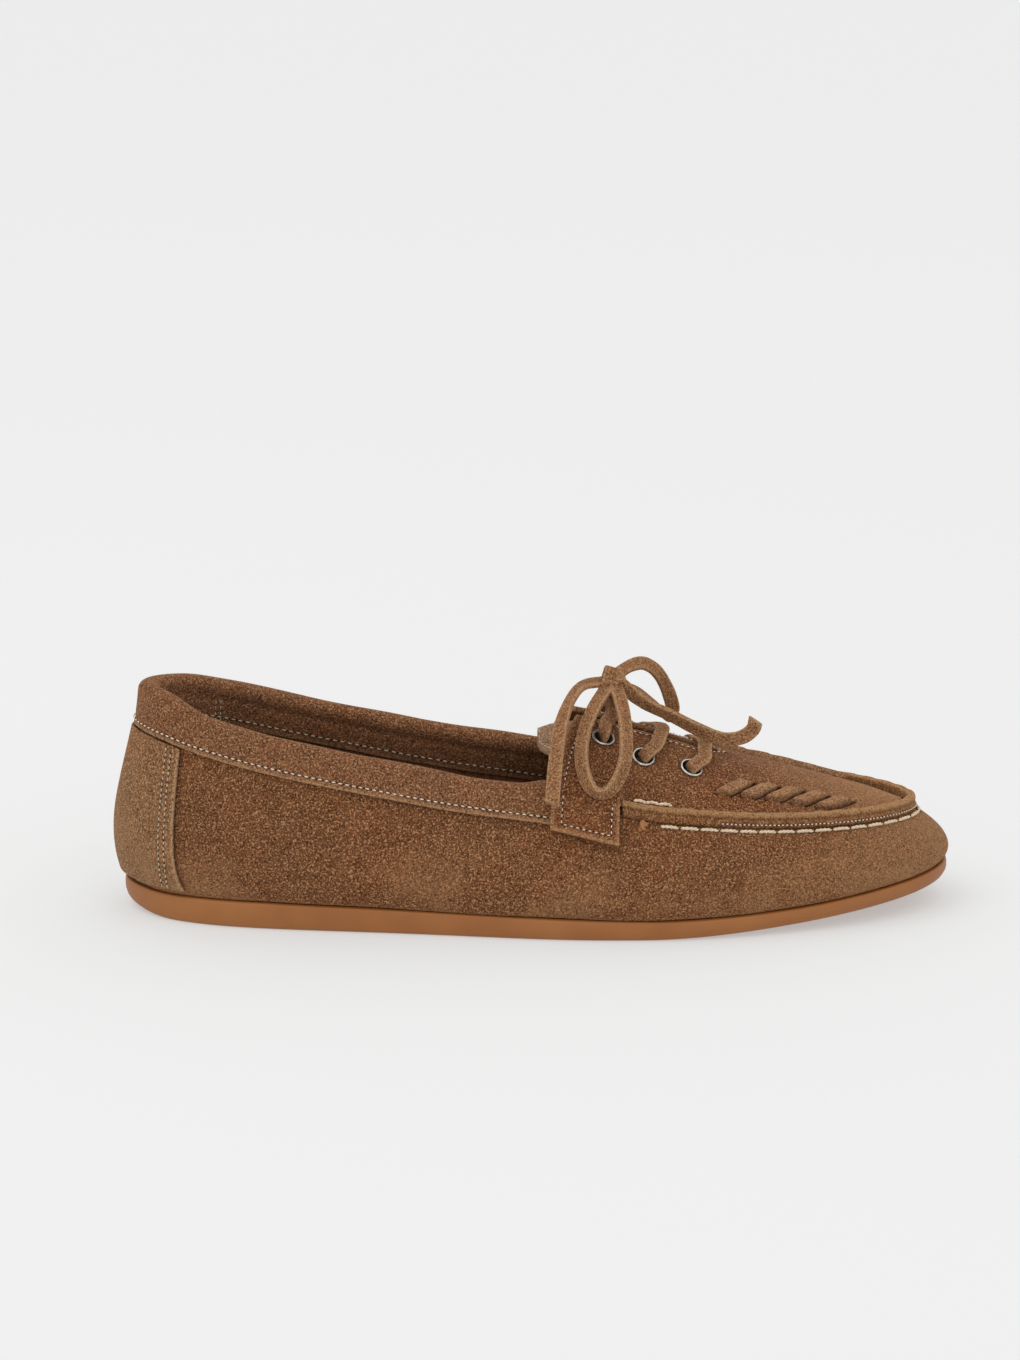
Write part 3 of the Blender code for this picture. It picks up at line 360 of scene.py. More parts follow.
SIDES = ((-1, "outer", s_outer), (1, "inner", s_inner))
print("stations:", len(STATIONS), "toe at", round(float(TOE_S), 3))

# %% The sole's edge and the wall's skin
GAP = 0.35


def sole_bottom(x):
    spring = 7.5 * np.clip((x - 35.0) / 91.0, 0, 1.1) ** 1.5
    lift = 3.0 * np.clip((-108.0 - x) / 16, 0, 1.2) ** 2
    return spring + lift


def sole_top(x):
    edge = 8.2 - 3.2 * np.clip((x + 80) / 160, 0, 1)
    return sole_bottom(x) * np.where(x < 0, 0.35, 1.0) + edge


def plan_frame(s):
    """Stations of the sole's edge and the level directions that face outwards there."""
    step = 1e-4
    here = station_at(s)
    along = unit((station_at(np.asarray(s) + step) - station_at(np.asarray(s) - step))[:, :2])
    return here, np.column_stack([along[:, 1], -along[:, 0], np.zeros(len(here))])


def lowered(here):
    """How far the top edge lies lower at stations on the outer side."""
    x = here[:, 0]
    return 2.6 * smoothstep(-116.0, -98.0, x) * (1 - smoothstep(-8.0, 4.5, x)) * (here[:, 1] < 0)


def collar_drop(s):
    """How far the collar reaches down the outside of the wall at each s."""
    return 10.4 - 0.8 * lowered(station_at(s))


def wall_skin(s, t):
    """Outer surface of the wall: s round the shoe, t from the sole (0) to the top edge (1)."""
    here, out = plan_frame(s)
    up = np.array([0, 0, 1.0])
    x, inset, top = here[:, 0], here[:, 2], here[:, 3] - lowered(here)
    base = np.column_stack([here[:, :2], sole_top(x) + GAP]) - out * 1.2
    head = np.column_stack([here[:, :2], top]) - out * inset[:, None]
    rise = (head[:, 2] - base[:, 2])[:, None]
    fore = smoothstep(0.0, 42.0, x)[:, None]
    heel = smoothstep(-85.0, -118.0, x)[:, None]
    bulge = 6.2 + 1.6 * heel - 1.0 * fore
    lean_out = 4.2 * (1 - fore) + 8.0 * fore - 3.0 * heel
    lean_down = (0.30 * rise) * (1 - fore) + 3.0 * fore
    first = base + out * bulge + up * rise * 0.30
    second = head + out * lean_out - up * lean_down
    t = np.asarray(t, float)[None, :, None]
    p0, p1, p2, p3 = (p[:, None, :] for p in (base, first, second, head))
    u = 1 - t
    return u ** 3 * p0 + 3 * u * u * t * p1 + 3 * u * t * t * p2 + t ** 3 * p3


def wall_normal(s, t):
    step = 1e-3
    s, t = np.atleast_1d(s).astype(float), np.atleast_1d(t).astype(float)
    along = wall_skin(s + step, t) - wall_skin(s - step, t)
    rising = wall_skin(s, t + step) - wall_skin(s, t - step)
    return unit(np.cross(along, rising))


def wall(s, t, depth=0.0):
    """Grid of wall points at a depth under the outer surface, one row for each s."""
    s, t = np.atleast_1d(s).astype(float), np.atleast_1d(t).astype(float)
    return wall_skin(s, t) - wall_normal(s, t) * depth


def t_below_top(s, drop):
    """The wall's t at distances below its top edge, measured on the surface at one s."""
    t = np.linspace(1, 0, 61)
    return np.interp(drop, run_along(wall_skin(s, t)[0]), t)


def on_wall(s, t, depth):
    """One point of the wall and the outward direction there."""
    return wall(s, t, depth)[0, 0], wall_normal(s, t)[0, 0]


def wall_line(s, drop, depth):
    """Points and outward directions at a distance below the top edge, for many s."""
    found = [on_wall(a, t_below_top(a, b), depth) for a, b in zip(s, np.broadcast_to(drop, len(s)))]
    return tuple(np.array(values) for values in zip(*found))


print("wall height at the heel, mm:", round(float(wall(0.0, 1.0)[0, 0, 2]), 1))

# %% [markdown]
# The apron is the piece over the top of the foot. Its height at any x and y is a crest line that
# falls away as a parabola to the seam on both sides. With its height known everywhere, eyelets,
# stitches, woven bars and laces can all be set on it by x, y and a lift.

# %% The apron's surface
TAB_REAR, TAB_FRONT, TAB_STEP = 5.0, 25.0, 2.4
TAB_DEPTH, TAB_DROP = -3.5, 12.5
SLIT_REAR, SLIT_END, SLIT_HALF = 13.0, 56.0, 4.5
APRON_THICK = 1.5
AXIS_END = 93.0
CREST = np.array([
    (5.0, 62.0), (13.0, 60.6), (31.0, 55.6), (41.0, 52.4), (53.0, 47.8),
    (69.0, 43.4), (87.0, 38.2), (100.0, 34.4), (114.0, 30.2)])


def apron_edge_point(s):
    """Where the apron's edge runs: inside the lip in front, over the collar at the tabs."""
    here, out = plan_frame(s)
    head = np.column_stack([here[:, :2], here[:, 3]]) - out * here[:, 2:3]
    front = head - out * (3 * GAP)
    front[:, 2] += 1.2
    over = head + out * (-TAB_DEPTH - 0.2)
    over[:, 2] += 2.2
    blend = smoothstep(TAB_FRONT, TAB_FRONT + TAB_STEP, here[:, 0])[:, None]
    return over * (1 - blend) + front * blend


EDGE_S = np.linspace(s_outer(3.0), s_inner(3.0), 801)
EDGE = apron_edge_point(EDGE_S)
EDGE_TIP = int(np.argmax(EDGE[:, 0]))


def seam_middle():
    """x and y half way between the wall's two top edges."""
    here, out = plan_frame(DENSE_S)
    head = here[:, :2] - out[:, :2] * here[:, 2:3]
    tip = int(np.argmax(head[:, 0]))
    x = np.linspace(0, AXIS_END, 60)
    y_outer = np.interp(x, head[200:tip, 0], head[200:tip, 1])
    y_inner = np.interp(x, head[tip:1800, 0][::-1], head[tip:1800, 1][::-1])
    return x, (y_outer + y_inner) / 2


AXIS = seam_middle()


def axis_y(x):
    return np.interp(x, *AXIS)


def apron_height(x, y):
    x, y = np.asarray(x, float), np.asarray(y, float)
    outer, inner = EDGE[:EDGE_TIP + 1], EDGE[EDGE_TIP:][::-1]
    y_outer, z_outer, y_inner, z_inner = (
        np.interp(x, side[:, 0], side[:, k]) for side in (outer, inner) for k in (1, 2))
    half = np.maximum((y_inner - y_outer) / 2, 0.5)
    q = np.clip((y - (y_outer + y_inner) / 2) / half, -1, 1)
    edge_z = z_outer + (z_inner - z_outer) * (q + 1) / 2
    crest = sum(np.interp(x + shift, CREST[:, 0], CREST[:, 1]) for shift in (0.0, 4.0, -4.0)) / 3
    return edge_z + (np.maximum(crest, edge_z) - edge_z) * (1 - q * q)


def apron_normal(x, y):
    step = 0.2
    slope_x = (apron_height(x + step, y) - apron_height(x - step, y)) / (2 * step)
    slope_y = (apron_height(x, y + step) - apron_height(x, y - step)) / (2 * step)
    return unit(np.stack([-slope_x, -slope_y, np.ones_like(slope_x)], axis=-1))


def over_apron(x, y, lift):
    """A point at a height above the apron, measured along its normal."""
    x, y = np.asarray(x, float), np.asarray(y, float)
    return np.stack([x, y, apron_height(x, y)], axis=-1) + apron_normal(x, y) * lift


def on_apron(x, y):
    """A point just above the apron and the upward direction there."""
    return over_apron(x, y, 0.05), apron_normal(x, y)


def slit_half(x):
    """Half of the lacing slit's width, closing to a rounded front end."""
    narrow = SLIT_HALF - 1.8 * np.clip((x - SLIT_REAR) / (SLIT_END - SLIT_REAR), 0, 1)
    closing = np.sqrt(np.clip(1 - np.clip((x - SLIT_END + 5.0) / 5.0, 0, 1) ** 2, 0, 1))
    return narrow * closing


print("apron crest over the slit's end, mm:", round(float(apron_height(56.0, axis_y(56.0))), 1))

# %% [markdown]
# ## Tools for making pieces
# Most pieces here are sheets of suede. A sheet is a bmesh grid whose points are moved onto the
# functions above; a second grid a thickness below it and four strips between their borders close
# it into a solid. A bevel then takes the hard corner off the cut edge, as wear does.

# %% Grids, shells and finished pieces
def add_grid(bm, points):
    """A grid of faces laid through rows of points."""
    rows, columns = points.shape[:2]
    made = bmesh.ops.create_grid(bm, x_segments=columns - 1, y_segments=rows - 1, size=1.0)
    for vert, place in zip(made["verts"], points.reshape(-1, 3)):
        vert.co = place


def closed_grid(points, merge, fill=True):
    """A closed bmesh from a grid whose borders meet; fill closes its open ends."""
    bm = bmesh.new()
    add_grid(bm, points)
    bmesh.ops.remove_doubles(bm, verts=bm.verts, dist=merge)
    if fill:
        bmesh.ops.holes_fill(bm, edges=[e for e in bm.edges if e.is_boundary], sides=0)
    bmesh.ops.recalc_face_normals(bm, faces=bm.faces)
    return bm


def join_into(whole, part):
    """Moves all of one bmesh into another."""
    carrier = bpy.data.meshes.new("carrier")
    part.to_mesh(carrier)
    part.free()
    whole.from_mesh(carrier)
    bpy.data.meshes.remove(carrier)


def round_corners(bm, sharper_than, offset):
    """Bevels every edge whose faces meet at more than an angle."""
    sharp = [e for e in bm.edges if len(e.link_faces) == 2 and e.calc_face_angle(0.0) > sharper_than]
    bmesh.ops.bevel(bm, geom=sharp, affect="EDGES", offset_type="OFFSET", offset=offset,
                    segments=2, profile=0.5, material=-1, clamp_overlap=True)


def finished(name, bm, look, stands_for=(), body="shoe"):
    """A bmesh in millimetres becomes a piece in metres that rides on a body."""
    bmesh.ops.scale(bm, vec=(MM, MM, MM), verts=bm.verts)
    mesh = bpy.data.meshes.new(name)
    bm.to_mesh(mesh)
    bm.free()
    mesh.shade_smooth()
    mesh.materials.append(look)
    piece = placed(name, mesh)
    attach(piece, body)
    if stands_for:
        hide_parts(*stands_for)
    print(f"{name}: {len(mesh.polygons)} faces")
    return piece


def closed_shell(front, back_side, rounding=0.35):
    """A closed bmesh between two sheets of points, with its border rounded."""
    bm = bmesh.new()
    add_grid(bm, front)
    add_grid(bm, back_side)
    for edge in (np.s_[0], np.s_[-1], np.s_[:, 0], np.s_[:, -1]):
        add_grid(bm, np.stack([front[edge], back_side[edge]]))
    bmesh.ops.remove_doubles(bm, verts=bm.verts, dist=0.01)
    bmesh.ops.recalc_face_normals(bm, faces=bm.faces)
    if rounding:
        round_corners(bm, 0.9, rounding)
    return bm


def mark_cut_edges(piece, lines, reach=0.8):
    """Stores how near each point is to a cut edge: 1 on it, fading out over reach mm."""
    points = np.vstack(lines)
    tree = KDTree(len(points))
    for i, point in enumerate(points):
        tree.insert(point, i)
    tree.balance()
    near = piece.data.attributes.new("edge", "FLOAT", "POINT")
    values = [math.exp(-(tree.find(v.co / MM)[2] / reach) ** 2) for v in piece.data.vertices]
    near.data.foreach_set("value", values)


def wavy(points, facing, size, amount, seed=0.0):
    """Points pushed in and out by a smooth noise, as soft suede undulates."""
    flat, out = points.reshape(-1, 3), facing.reshape(-1, 3)
    push = np.array([noise.noise(Vector(p / size) + Vector((seed, 0, 0))) for p in flat])
    return (flat + out * (push * amount)[:, None]).reshape(points.shape)


def dense_line(points, step):
    """A polyline resampled at even steps."""
    points = np.asarray(points, float)
    run = run_along(points)
    return along_line(np.linspace(0, run[-1], max(2, round(run[-1] / step) + 1)), run, points)


print("making tools ready")

# %% [markdown]
# Rows of machine stitches finish a shoe. One stitch is a short flattened bead of thread that dives
# into a needle hole at each end. A flat dark disc between two stitches is painted shade for the hole
# and the dimple round it. It is repeated hundreds of times, so each has a few dozen faces and a whole
# row is one piece.

# %% Stitch rows
STITCH_SWAY = 0.05


def stitches(name, line, facing, pitch, length, wide=0.42, high=0.34, look=WHITE_THREAD,
             holes=True, body="shoe"):
    """A row of stitches along a line, lying flat on the surface that faces outwards."""
    line, facing = np.asarray(line, float), np.asarray(facing, float)
    run = run_along(line)
    count = int((run[-1] - length) / pitch) + 1
    bm = bmesh.new()
    dark = bmesh.new()
    for k in range(count):
        middle = length / 2 + k * pitch
        ends = [along_line(middle + d, run, line) for d in (-length / 2, length / 2)]
        out = Vector(along_line(middle, run, facing)).normalized()
        along = Vector(ends[1] - ends[0]).normalized()
        across = out.cross(along).normalized()
        out = along.cross(across)
        sway = math.sin(k * 12.9898) * STITCH_SWAY
        turn = Matrix((along + across * sway, across, out)).transposed().to_4x4()
        place = Matrix.Translation(Vector((ends[0] + ends[1]) / 2) + out * high * 0.3)
        bmesh.ops.create_uvsphere(bm, u_segments=6, v_segments=5, radius=0.5, matrix=place @ turn
                                  @ Matrix.Diagonal((length, wide, high, 1)))
        # Painted shade: a flat dark disc between two stitches stands for the shade in the needle hole and its
        # dimple.
        if holes:
            spot = Matrix.Translation(Vector(ends[1]) + along * (pitch - length) / 2)
            bmesh.ops.create_uvsphere(dark, u_segments=6, v_segments=3, radius=0.5, matrix=spot @ turn
                                      @ Matrix.Diagonal((pitch - length, wide * 1.2, 0.16, 1)))
    finished(name, bm, look, (), body)
    if holes:
        finished(name + "_holes", dark, NEEDLE_HOLE_SHADE, (), body)
    else:
        dark.free()


print("stitch maker ready")

# %% [markdown]
# ## The lace
# The lace is one flat strip of suede, 4.4 mm wide and 1.7 mm thick, so it is swept as a rounded
# rectangle along each route, with a facing direction that says which way its flat side looks.
# Limp suede bends in wide curves. The routes are the ones its solids follow.

# %% Smooth routes and flat strips
LACE_WIDE, LACE_THICK = 4.4, 1.7
KNOT_CENTRE = Vector((24.0, 0.0, 68.6))
KNOT_RADIUS = 3.2


def smooth_line(points, step):
    """Points about a step apart on a smooth curve through the given ones."""
    p = np.array(points, float)
    p = np.vstack([2 * p[0] - p[1], p, 2 * p[-1] - p[-2]])
    line = []
    for a, b, c, d in zip(p, p[1:], p[2:], p[3:]):
        count = max(1, round(np.linalg.norm((c - b)[:3]) / step))
        for t in np.arange(count) / count:
            line.append(0.5 * (2 * b + (c - a) * t + (2 * a - 5 * b + 4 * c - d) * t ** 2
                               + (3 * b - a - 3 * c + d) * t ** 3))
    line.append(p[-2])
    return np.array(line)


def strip(name, points, faces, stands_for=(), wide=LACE_WIDE, thick=LACE_THICK, slant=0.0):
    """A flat strip along points; faces gives the direction its flat side looks at each point."""
    route = smooth_line(np.hstack([points, faces]), 0.9)
    line, looks = route[:, :3], route[:, 3:]
    along = unit(np.gradient(line, axis=0))
    across = unit(np.cross(looks, along))
    out = np.cross(along, across)
    turn = np.linspace(0, 2 * np.pi, 25)
    square = 0.32
    u = np.sign(np.cos(turn)) * np.abs(np.cos(turn)) ** square * wide / 2
    v = np.sign(np.sin(turn)) * np.abs(np.sin(turn)) ** (square + 0.25) * thick / 2
    grid = []
    for place, side, flat in zip(line, across, out):
        uneven = 1 + 0.05 * noise.noise(Vector(place) / 3.0)
        cupped = 0.10 * (u / (wide / 2)) ** 2
        grid.append(place + np.outer(u * uneven, side) + np.outer(v + cupped, flat))
    grid[-1] += np.outer(u * slant, along[-1])
    piece = finished(name, closed_grid(np.array(grid), 0.005), LACE_SUEDE, stands_for)
    corners = [line + side * across * (wide / 2) + flat * out * thick * 0.4
               for side in (-1, 1) for flat in (-1, 1)]
    mark_cut_edges(piece, corners + [grid[-1]], 0.62)
    return piece, line * MM, run_along(line)[-1] * MM


def knot_root(direction):
    """Where a lace comes out of the knot's wrapped turns."""
    return np.array(KNOT_CENTRE + Vector(direction).normalized() * KNOT_RADIUS * 0.75)


print("strip maker ready")

# %% [markdown]
# Each strand of the bow is a free cord: it starts at the knot, and either comes back to it as a
# loop or ends cut off, as suede laces do. The facing directions let the strip turn over slowly,
# so its pale cut edge shows along most of it.

# %% The bow
BOW = {
    "lace_loop_outer": ((-0.55, -0.80, -0.20), [
        (18.2, -11.5, 63.9), (15.0, -19.0, 58.2), (14.0, -26.3, 51.9), (15.6, -32.6, 46.4),
        (19.2, -35.9, 43.8), (23.6, -34.0, 46.0), (26.8, -27.3, 52.0), (27.2, -17.5, 59.2),
        (26.2, -9.5, 64.6)], (0.30, -0.90, -0.30)),
    "lace_end_outer": ((-0.97, -0.10, 0.20), [
        (15.0, -4.5, 68.8), (11.2, -10.0, 66.0), (8.3, -18.5, 61.2), (6.6, -27.0, 54.0),
        (5.4, -36.2, 45.4), (5.0, -39.0, 41.4)], None),
    "lace_loop_inner": ((0.35, 0.45, 0.82), [
        (29.0, 4.6, 72.4), (33.4, 8.0, 72.6), (37.8, 12.0, 69.0), (41.2, 15.8, 62.4),
        (43.0, 18.4, 55.8), (41.4, 17.4, 53.6), (37.0, 12.6, 58.6), (31.6, 7.0, 64.2)],
        (0.70, 0.50, -0.52)),
    "lace_end_front": ((0.95, -0.28, -0.14), [
        (33.7, -3.0, 63.0), (41.5, -3.2, 59.2), (49.0, -2.4, 55.0), (56.9, -1.0, 51.2),
        (62.9, 0.0, 51.4), (66.5, 0.5, 53.8), (67.3, 0.5, 56.6)], None),
}
BOW_FACES = {
    "lace_loop_outer": [
        (-0.3, -0.8, 0.6), (-0.45, -0.8, 0.5), (-0.5, -0.8, 0.4), (-0.5, -0.85, 0.2), (-0.4, -0.9, -0.1),
        (0.05, -0.8, -0.65), (0.4, -0.9, -0.1), (0.5, -0.85, 0.2), (0.5, -0.8, 0.4), (0.4, -0.8, 0.5),
        (0.2, -0.8, 0.6)],
    "lace_end_outer": [
        (-0.4, -0.5, 0.8), (-0.6, -0.6, 0.6), (-0.7, -0.7, 0.4), (-0.5, -0.85, 0.3), (-0.3, -0.9, 0.35),
        (-0.1, -0.95, 0.35), (0.0, -1.0, 0.2)],
    "lace_loop_inner": [
        (-0.3, -0.5, 0.8), (-0.2, -0.6, 0.8), (0.3, -0.7, 0.7), (0.6, -0.75, 0.4), (0.5, -0.85, 0.2),
        (0.3, -0.9, -0.2), (0.2, -0.6, 0.8), (0.1, -0.5, 0.9), (0.0, -0.5, 0.9), (0.0, -0.5, 0.9)],
    "lace_end_front": [
        (-0.1, -0.8, 0.3), (-0.2, -0.8, -0.4), (-0.25, -0.8, -0.5), (-0.2, -0.85, -0.3), (-0.1, -0.95, 0.1),
        (-0.2, -0.95, 0.3), (-0.35, -0.9, 0.3), (-0.4, -0.9, 0.2)],
}
for name, (leaving, points, returning) in BOW.items():
    route = [knot_root(leaving)] + [np.array(p) for p in points]
    if returning:
        route.append(knot_root(returning))
    strand, line, length = strip("flat_" + name, route, BOW_FACES[name], (name,),
                                 slant=0.0 if returning else 0.35)
    print(name, "is", round(length * 1000), "mm long")

# %% [markdown]
# Below the bow, the lace crosses the tongue in two bars and rises from the rear eyelets to the
# knot. It rises out of the outer eyelets leaning forward, lies across the slit and dives into the
# inner ones.

# %% The bars and the risers
EYELETS = [(20.7, 14.0), (32.6, 16.0), (47.0, 15.5)]
EYELET_EXIT = [(0.0, -0.8), (0.0, 1.0), (0.5, 2.3), (1.6, 3.1), (3.2, 3.3)]


def eyelet_places():
    """(name, x, y) of every eyelet."""
    places = []
    for number, (x, out) in enumerate(EYELETS, start=1):
        for side, side_name, _ in SIDES:
            places.append((f"eyelet_{side_name}_{number}", x, float(axis_y(x)) + side * out))
    return places


places = {name: (x, y) for name, x, y in eyelet_places()}
# How far ahead of the eyelet, how far towards the slit and how high above the apron.
OUTER_RISE = [(0.0, 0.0, -0.8), (0.3, 0.1, 0.8), (1.2, 0.9, 1.8), (2.4, 2.2, 2.3), (3.6, 4.0, 2.4)]
INNER_FALL = [(3.0, 4.0, 1.4), (2.0, 2.2, 1.5), (1.0, 0.9, 1.3), (0.3, 0.1, 0.6), (0.0, 0.0, -0.8)]
for name, number, sag in (("lace_bar_middle", 2, 6.0), ("lace_bar_front", 3, 4.6)):
    outer, inner = places[f"eyelet_outer_{number}"], places[f"eyelet_inner_{number}"]
    points, faces = [], []
    for ahead, inward, lift in OUTER_RISE:
        points.append(over_apron(outer[0] + ahead, outer[1] + inward, lift))
        faces.append((-0.25, -0.75, 0.6))
    for share, lift in ((0.34, 1.9), (0.5, 1.35), (0.66, 1.2)):
        bow = math.sin(math.pi * share)
        points.append(over_apron(outer[0] + sag * bow, outer[1] + (inner[1] - outer[1]) * share, lift))
        faces.append((0.0, (share - 0.5) * 1.6, 1.0))
    for ahead, inward, lift in INNER_FALL:
        points.append(over_apron(inner[0] + ahead, inner[1] - inward, lift))
        faces.append((-0.25, 0.75, 0.6))
    bar, line, length = strip("flat_" + name, points, faces, (name,), wide=4.3, thick=1.5)
for side, side_name, _ in SIDES:
    name = f"lace_riser_{side_name}"
    x, y = places[f"eyelet_{side_name}_1"]
    points = [over_apron(x, y - side * shift, lift) for shift, lift in EYELET_EXIT]
    points += [over_apron(x + 1.8, y - side * 8.0, 3.2), knot_root((0.0, side * 0.45, -0.9))]
    faces = [(ahead, side * out, lift) for ahead, out, lift in (
        (-0.8, 0.5, 0.4), (-0.6, 0.6, 0.5), (-0.4, 0.7, 0.6), (0.0, 0.7, 0.7), (0.3, 0.8, 0.5),
        (0.5, 0.8, 0.3), (0.4, 0.9, 0.2))]
    strip("flat_" + name, points, faces, (name,), wide=4.0, thick=1.5)

# %% [markdown]
# The knot is a strip pulled tightly round the strands: one turn over the front and one behind it
# at a slight angle, with a packed core that fills the middle.

# %% The knot
def knot_turn(name, wide, tall, shift, lean):
    """One closed turn of the strip round the knot, leaning sideways."""
    angles = np.linspace(0.35, 2 * math.pi + 0.35, 15)
    points, faces = [], []
    for angle in angles:
        flat = Vector((0, -math.cos(angle), math.sin(angle)))
        turn = Matrix.Rotation(lean, 3, "Y")
        points.append(np.array(KNOT_CENTRE + turn @ Vector((shift, flat.y * wide, flat.z * tall))))
        faces.append(np.array(turn @ flat))
    strip(name, points, faces, wide=4.8, thick=1.3)


core = bmesh.new()
bmesh.ops.create_icosphere(core, subdivisions=4, radius=3.0, matrix=Matrix.Translation(KNOT_CENTRE))
for vert in core.verts:
    vert.co += (vert.co - KNOT_CENTRE) * 0.12 * noise.noise(vert.co / 1.6)
finished("knot_core", core, LACE_SUEDE, ("lace_knot",))
knot_turn("knot_turn_front", 3.0, 4.0, -1.2, 0.28)
knot_turn("knot_turn_rear", 2.6, 3.4, 1.6, -0.35)

# %% [markdown]
# ## The sole
# The sole is moulded gum rubber, thicker at the heel, with its toe turned up a little and its
# lower edge rounded. Rings run from the middle of the underside, round the edge and back to the
# middle of the top, so one grid makes it.

# %% The sole
LONG_AXIS = ([-124, 0, 50, 126], [0, -3, 1, 5])


def sole_ring(s, inset, z_of_x, turn_at=6.0, ends=(-98.0, 98.0)):
    """A ring inside the sole's edge. Past turn_at it moves to the long axis, reached at 100."""
    here, out = plan_frame(s)
    edge = here[:, :2] - out[:, :2] * min(inset, turn_at)
    share = max(inset - turn_at, 0.0) / (100.0 - turn_at)
    axis = np.column_stack([np.clip(edge[:, 0], *ends), np.interp(edge[:, 0], *LONG_AXIS)])
    plan = edge + (axis - edge) * share
    return np.column_stack([plan, z_of_x(plan[:, 0])])


def sole_side(s, share, bulge):
    """A ring on the sole's side wall at a share of its height."""
    here, out = plan_frame(s)
    plan = here[:, :2] + out[:, :2] * bulge
    low, high = sole_bottom(here[:, 0]), sole_top(here[:, 0])
    return np.column_stack([plan, low + (high - low) * share])


s = np.linspace(0, 1, 361)
rings = [sole_ring(s, inset, sole_bottom) for inset in (100, 70, 45, 25, 12, 6, 3.2, 2.2)]
for inset, lift in ((1.5, 0.12), (0.95, 0.45), (0.55, 0.95), (0.3, 1.6)):
    rings.append(sole_ring(s, inset, lambda x, h=lift: sole_bottom(x) + h))
for share, bulge in ((0.36, -0.05), (0.55, 0.1), (0.74, 0.1), (0.9, -0.02)):
    rings.append(sole_side(s, share, bulge))
for inset, drop in ((0.12, 0.25), (0.4, 0.06), (0.9, 0.0), (2.5, 0.0), (6, 0.0), (25, 0.0),
                    (60, 0.0), (100, 0.0)):
    rings.append(sole_ring(s, inset, lambda x, h=drop: sole_top(x) - h))
bm = closed_grid(np.array(rings).transpose(1, 0, 2), 0.01, fill=False)
finished("sole", bm, RUBBER, ("outsole",))

# %% [markdown]
# ## The wall
# The suede wall wraps the foot from heel to toe. It undulates a little, and along the hand-sewn
# seam each stitch pulls it into a small pucker. Its foot turns in under the shoe.

# %% The suede wall
RIM_DROP = 2.8
YARN_PITCH = 5.9
YARN_DROP = RIM_DROP + 1.2


def yarn_phase(s):
    """Distance round the seam in stitches, so that puckers and stitches agree."""
    table_s = np.linspace(s_outer(25.0), s_inner(25.0), 900)
    return np.interp(s, table_s, run_along(wall(table_s, 1.0)[:, 0])) / YARN_PITCH


def puckered(points, facing, s, drops, depth):
    """Pulls the suede in at each yarn stitch's ends, close under the seam."""
    phase = yarn_phase(s)[:, None]
    pull = np.exp(-((drops - YARN_DROP) / 2.6) ** 2) * depth
    fore = smoothstep(26.0, 34.0, points[:, :, 0])
    dent = -0.5 * np.cos(2 * np.pi * phase)
    return points + facing * (dent * pull * fore)[..., None]


def below_top(points):
    """Distance of each point of a wall grid below the wall's top edge, along the surface."""
    run = np.array([run_along(row) for row in points])
    return run[:, -1:] - run


s = np.linspace(s_outer(-116.5), s_inner(-116.5), 470)
t = np.concatenate([[0.0, 0.02, 0.05], np.linspace(0.09, 0.86, 22), [0.89, 0.92, 0.95, 0.98, 1.0]])
skin, facing = wall(s, t), wall_normal(s, t)
skin = puckered(wavy(skin, facing, 24.0, 0.35), facing, s, below_top(skin), 0.55)
inside = skin - facing * 1.3
tuck = plan_frame(s)[1][:, None, :] * 4.0
low_front, low_back = skin[:, :1] - tuck, inside[:, :1] - tuck
low_back[:, :, 2] = low_front[:, :, 2] + 1.3
skin = np.concatenate([low_front, skin], axis=1)
inside = np.concatenate([low_back, inside], axis=1)
piece = finished("wall_of_suede", closed_shell(skin, inside, 0.0), WALL_SUEDE, ("side_wall",))
mark_cut_edges(piece, [skin[:, 1]], 0.5)

# %% [markdown]
# ## Heel panel, collar and linings
# A second piece of suede wraps the heel and is sewn on with two close rows at each front edge.
# The collar is a band folded over the top edge: one row of stitches, just above its raw lower
# edge, goes through to the inside.

# %% The heel panel
HEEL_FRONT, HEEL_FOOT = -106.5, 0.045
HEEL_DEPTH, HEEL_THICK, HEEL_FLARE = -1.9, 1.15, 2.6
s = np.linspace(s_inner(HEEL_FRONT), 1.0 + s_outer(HEEL_FRONT), 130)
share = np.linspace(0, 1, 40)
climbs = [HEEL_FOOT + (t_below_top(v, drop + 0.6) - HEEL_FOOT) * share for v, drop in zip(s, collar_drop(s))]
skin = np.concatenate([wall(v, climb, HEEL_DEPTH) for v, climb in zip(s, climbs)])
facing = np.concatenate([wall_normal(v, climb) for v, climb in zip(s, climbs)])
skin = wavy(skin, facing, 20.0, 0.25, 7.0)
spread = HEEL_FLARE * np.exp(-share / 0.11)[:, None]
for side, towards in ((slice(0, 10), -1), (slice(-10, None), 1)):
    near_edge = np.linspace(1, 0, 10)[::-towards][:, None, None]
    along = unit(np.gradient(skin, axis=0)[side])
    skin[side] += along * towards * spread * near_edge
piece = finished("heel_wrap", closed_shell(skin, skin - facing * HEEL_THICK), HEEL_SUEDE, ("heel_panel",))
mark_cut_edges(piece, [skin[0], skin[-1]], 0.7)
for _, side, edge_s in reversed(SIDES):
    for number, behind in enumerate((2.3, 3.9), start=1):
        v = edge_s(HEEL_FRONT - behind)
        at = np.linspace(0.06, t_below_top(v, collar_drop(v)[0] + 1.2), 60)
        stitches(f"heel_stitches_{side}_{number}", wall(v, at, HEEL_DEPTH - 0.02)[0],
                 wall_normal(v, at)[0], pitch=1.75, length=1.1, wide=0.4, high=0.36, look=PALE_THREAD)

# %% The collar band
COLLAR_END = 13.0
COLLAR_FACE, COLLAR_INNER, COLLAR_THICK = -1.7, 4.45, 1.1
COLLAR_INNER_DROP = 11.0


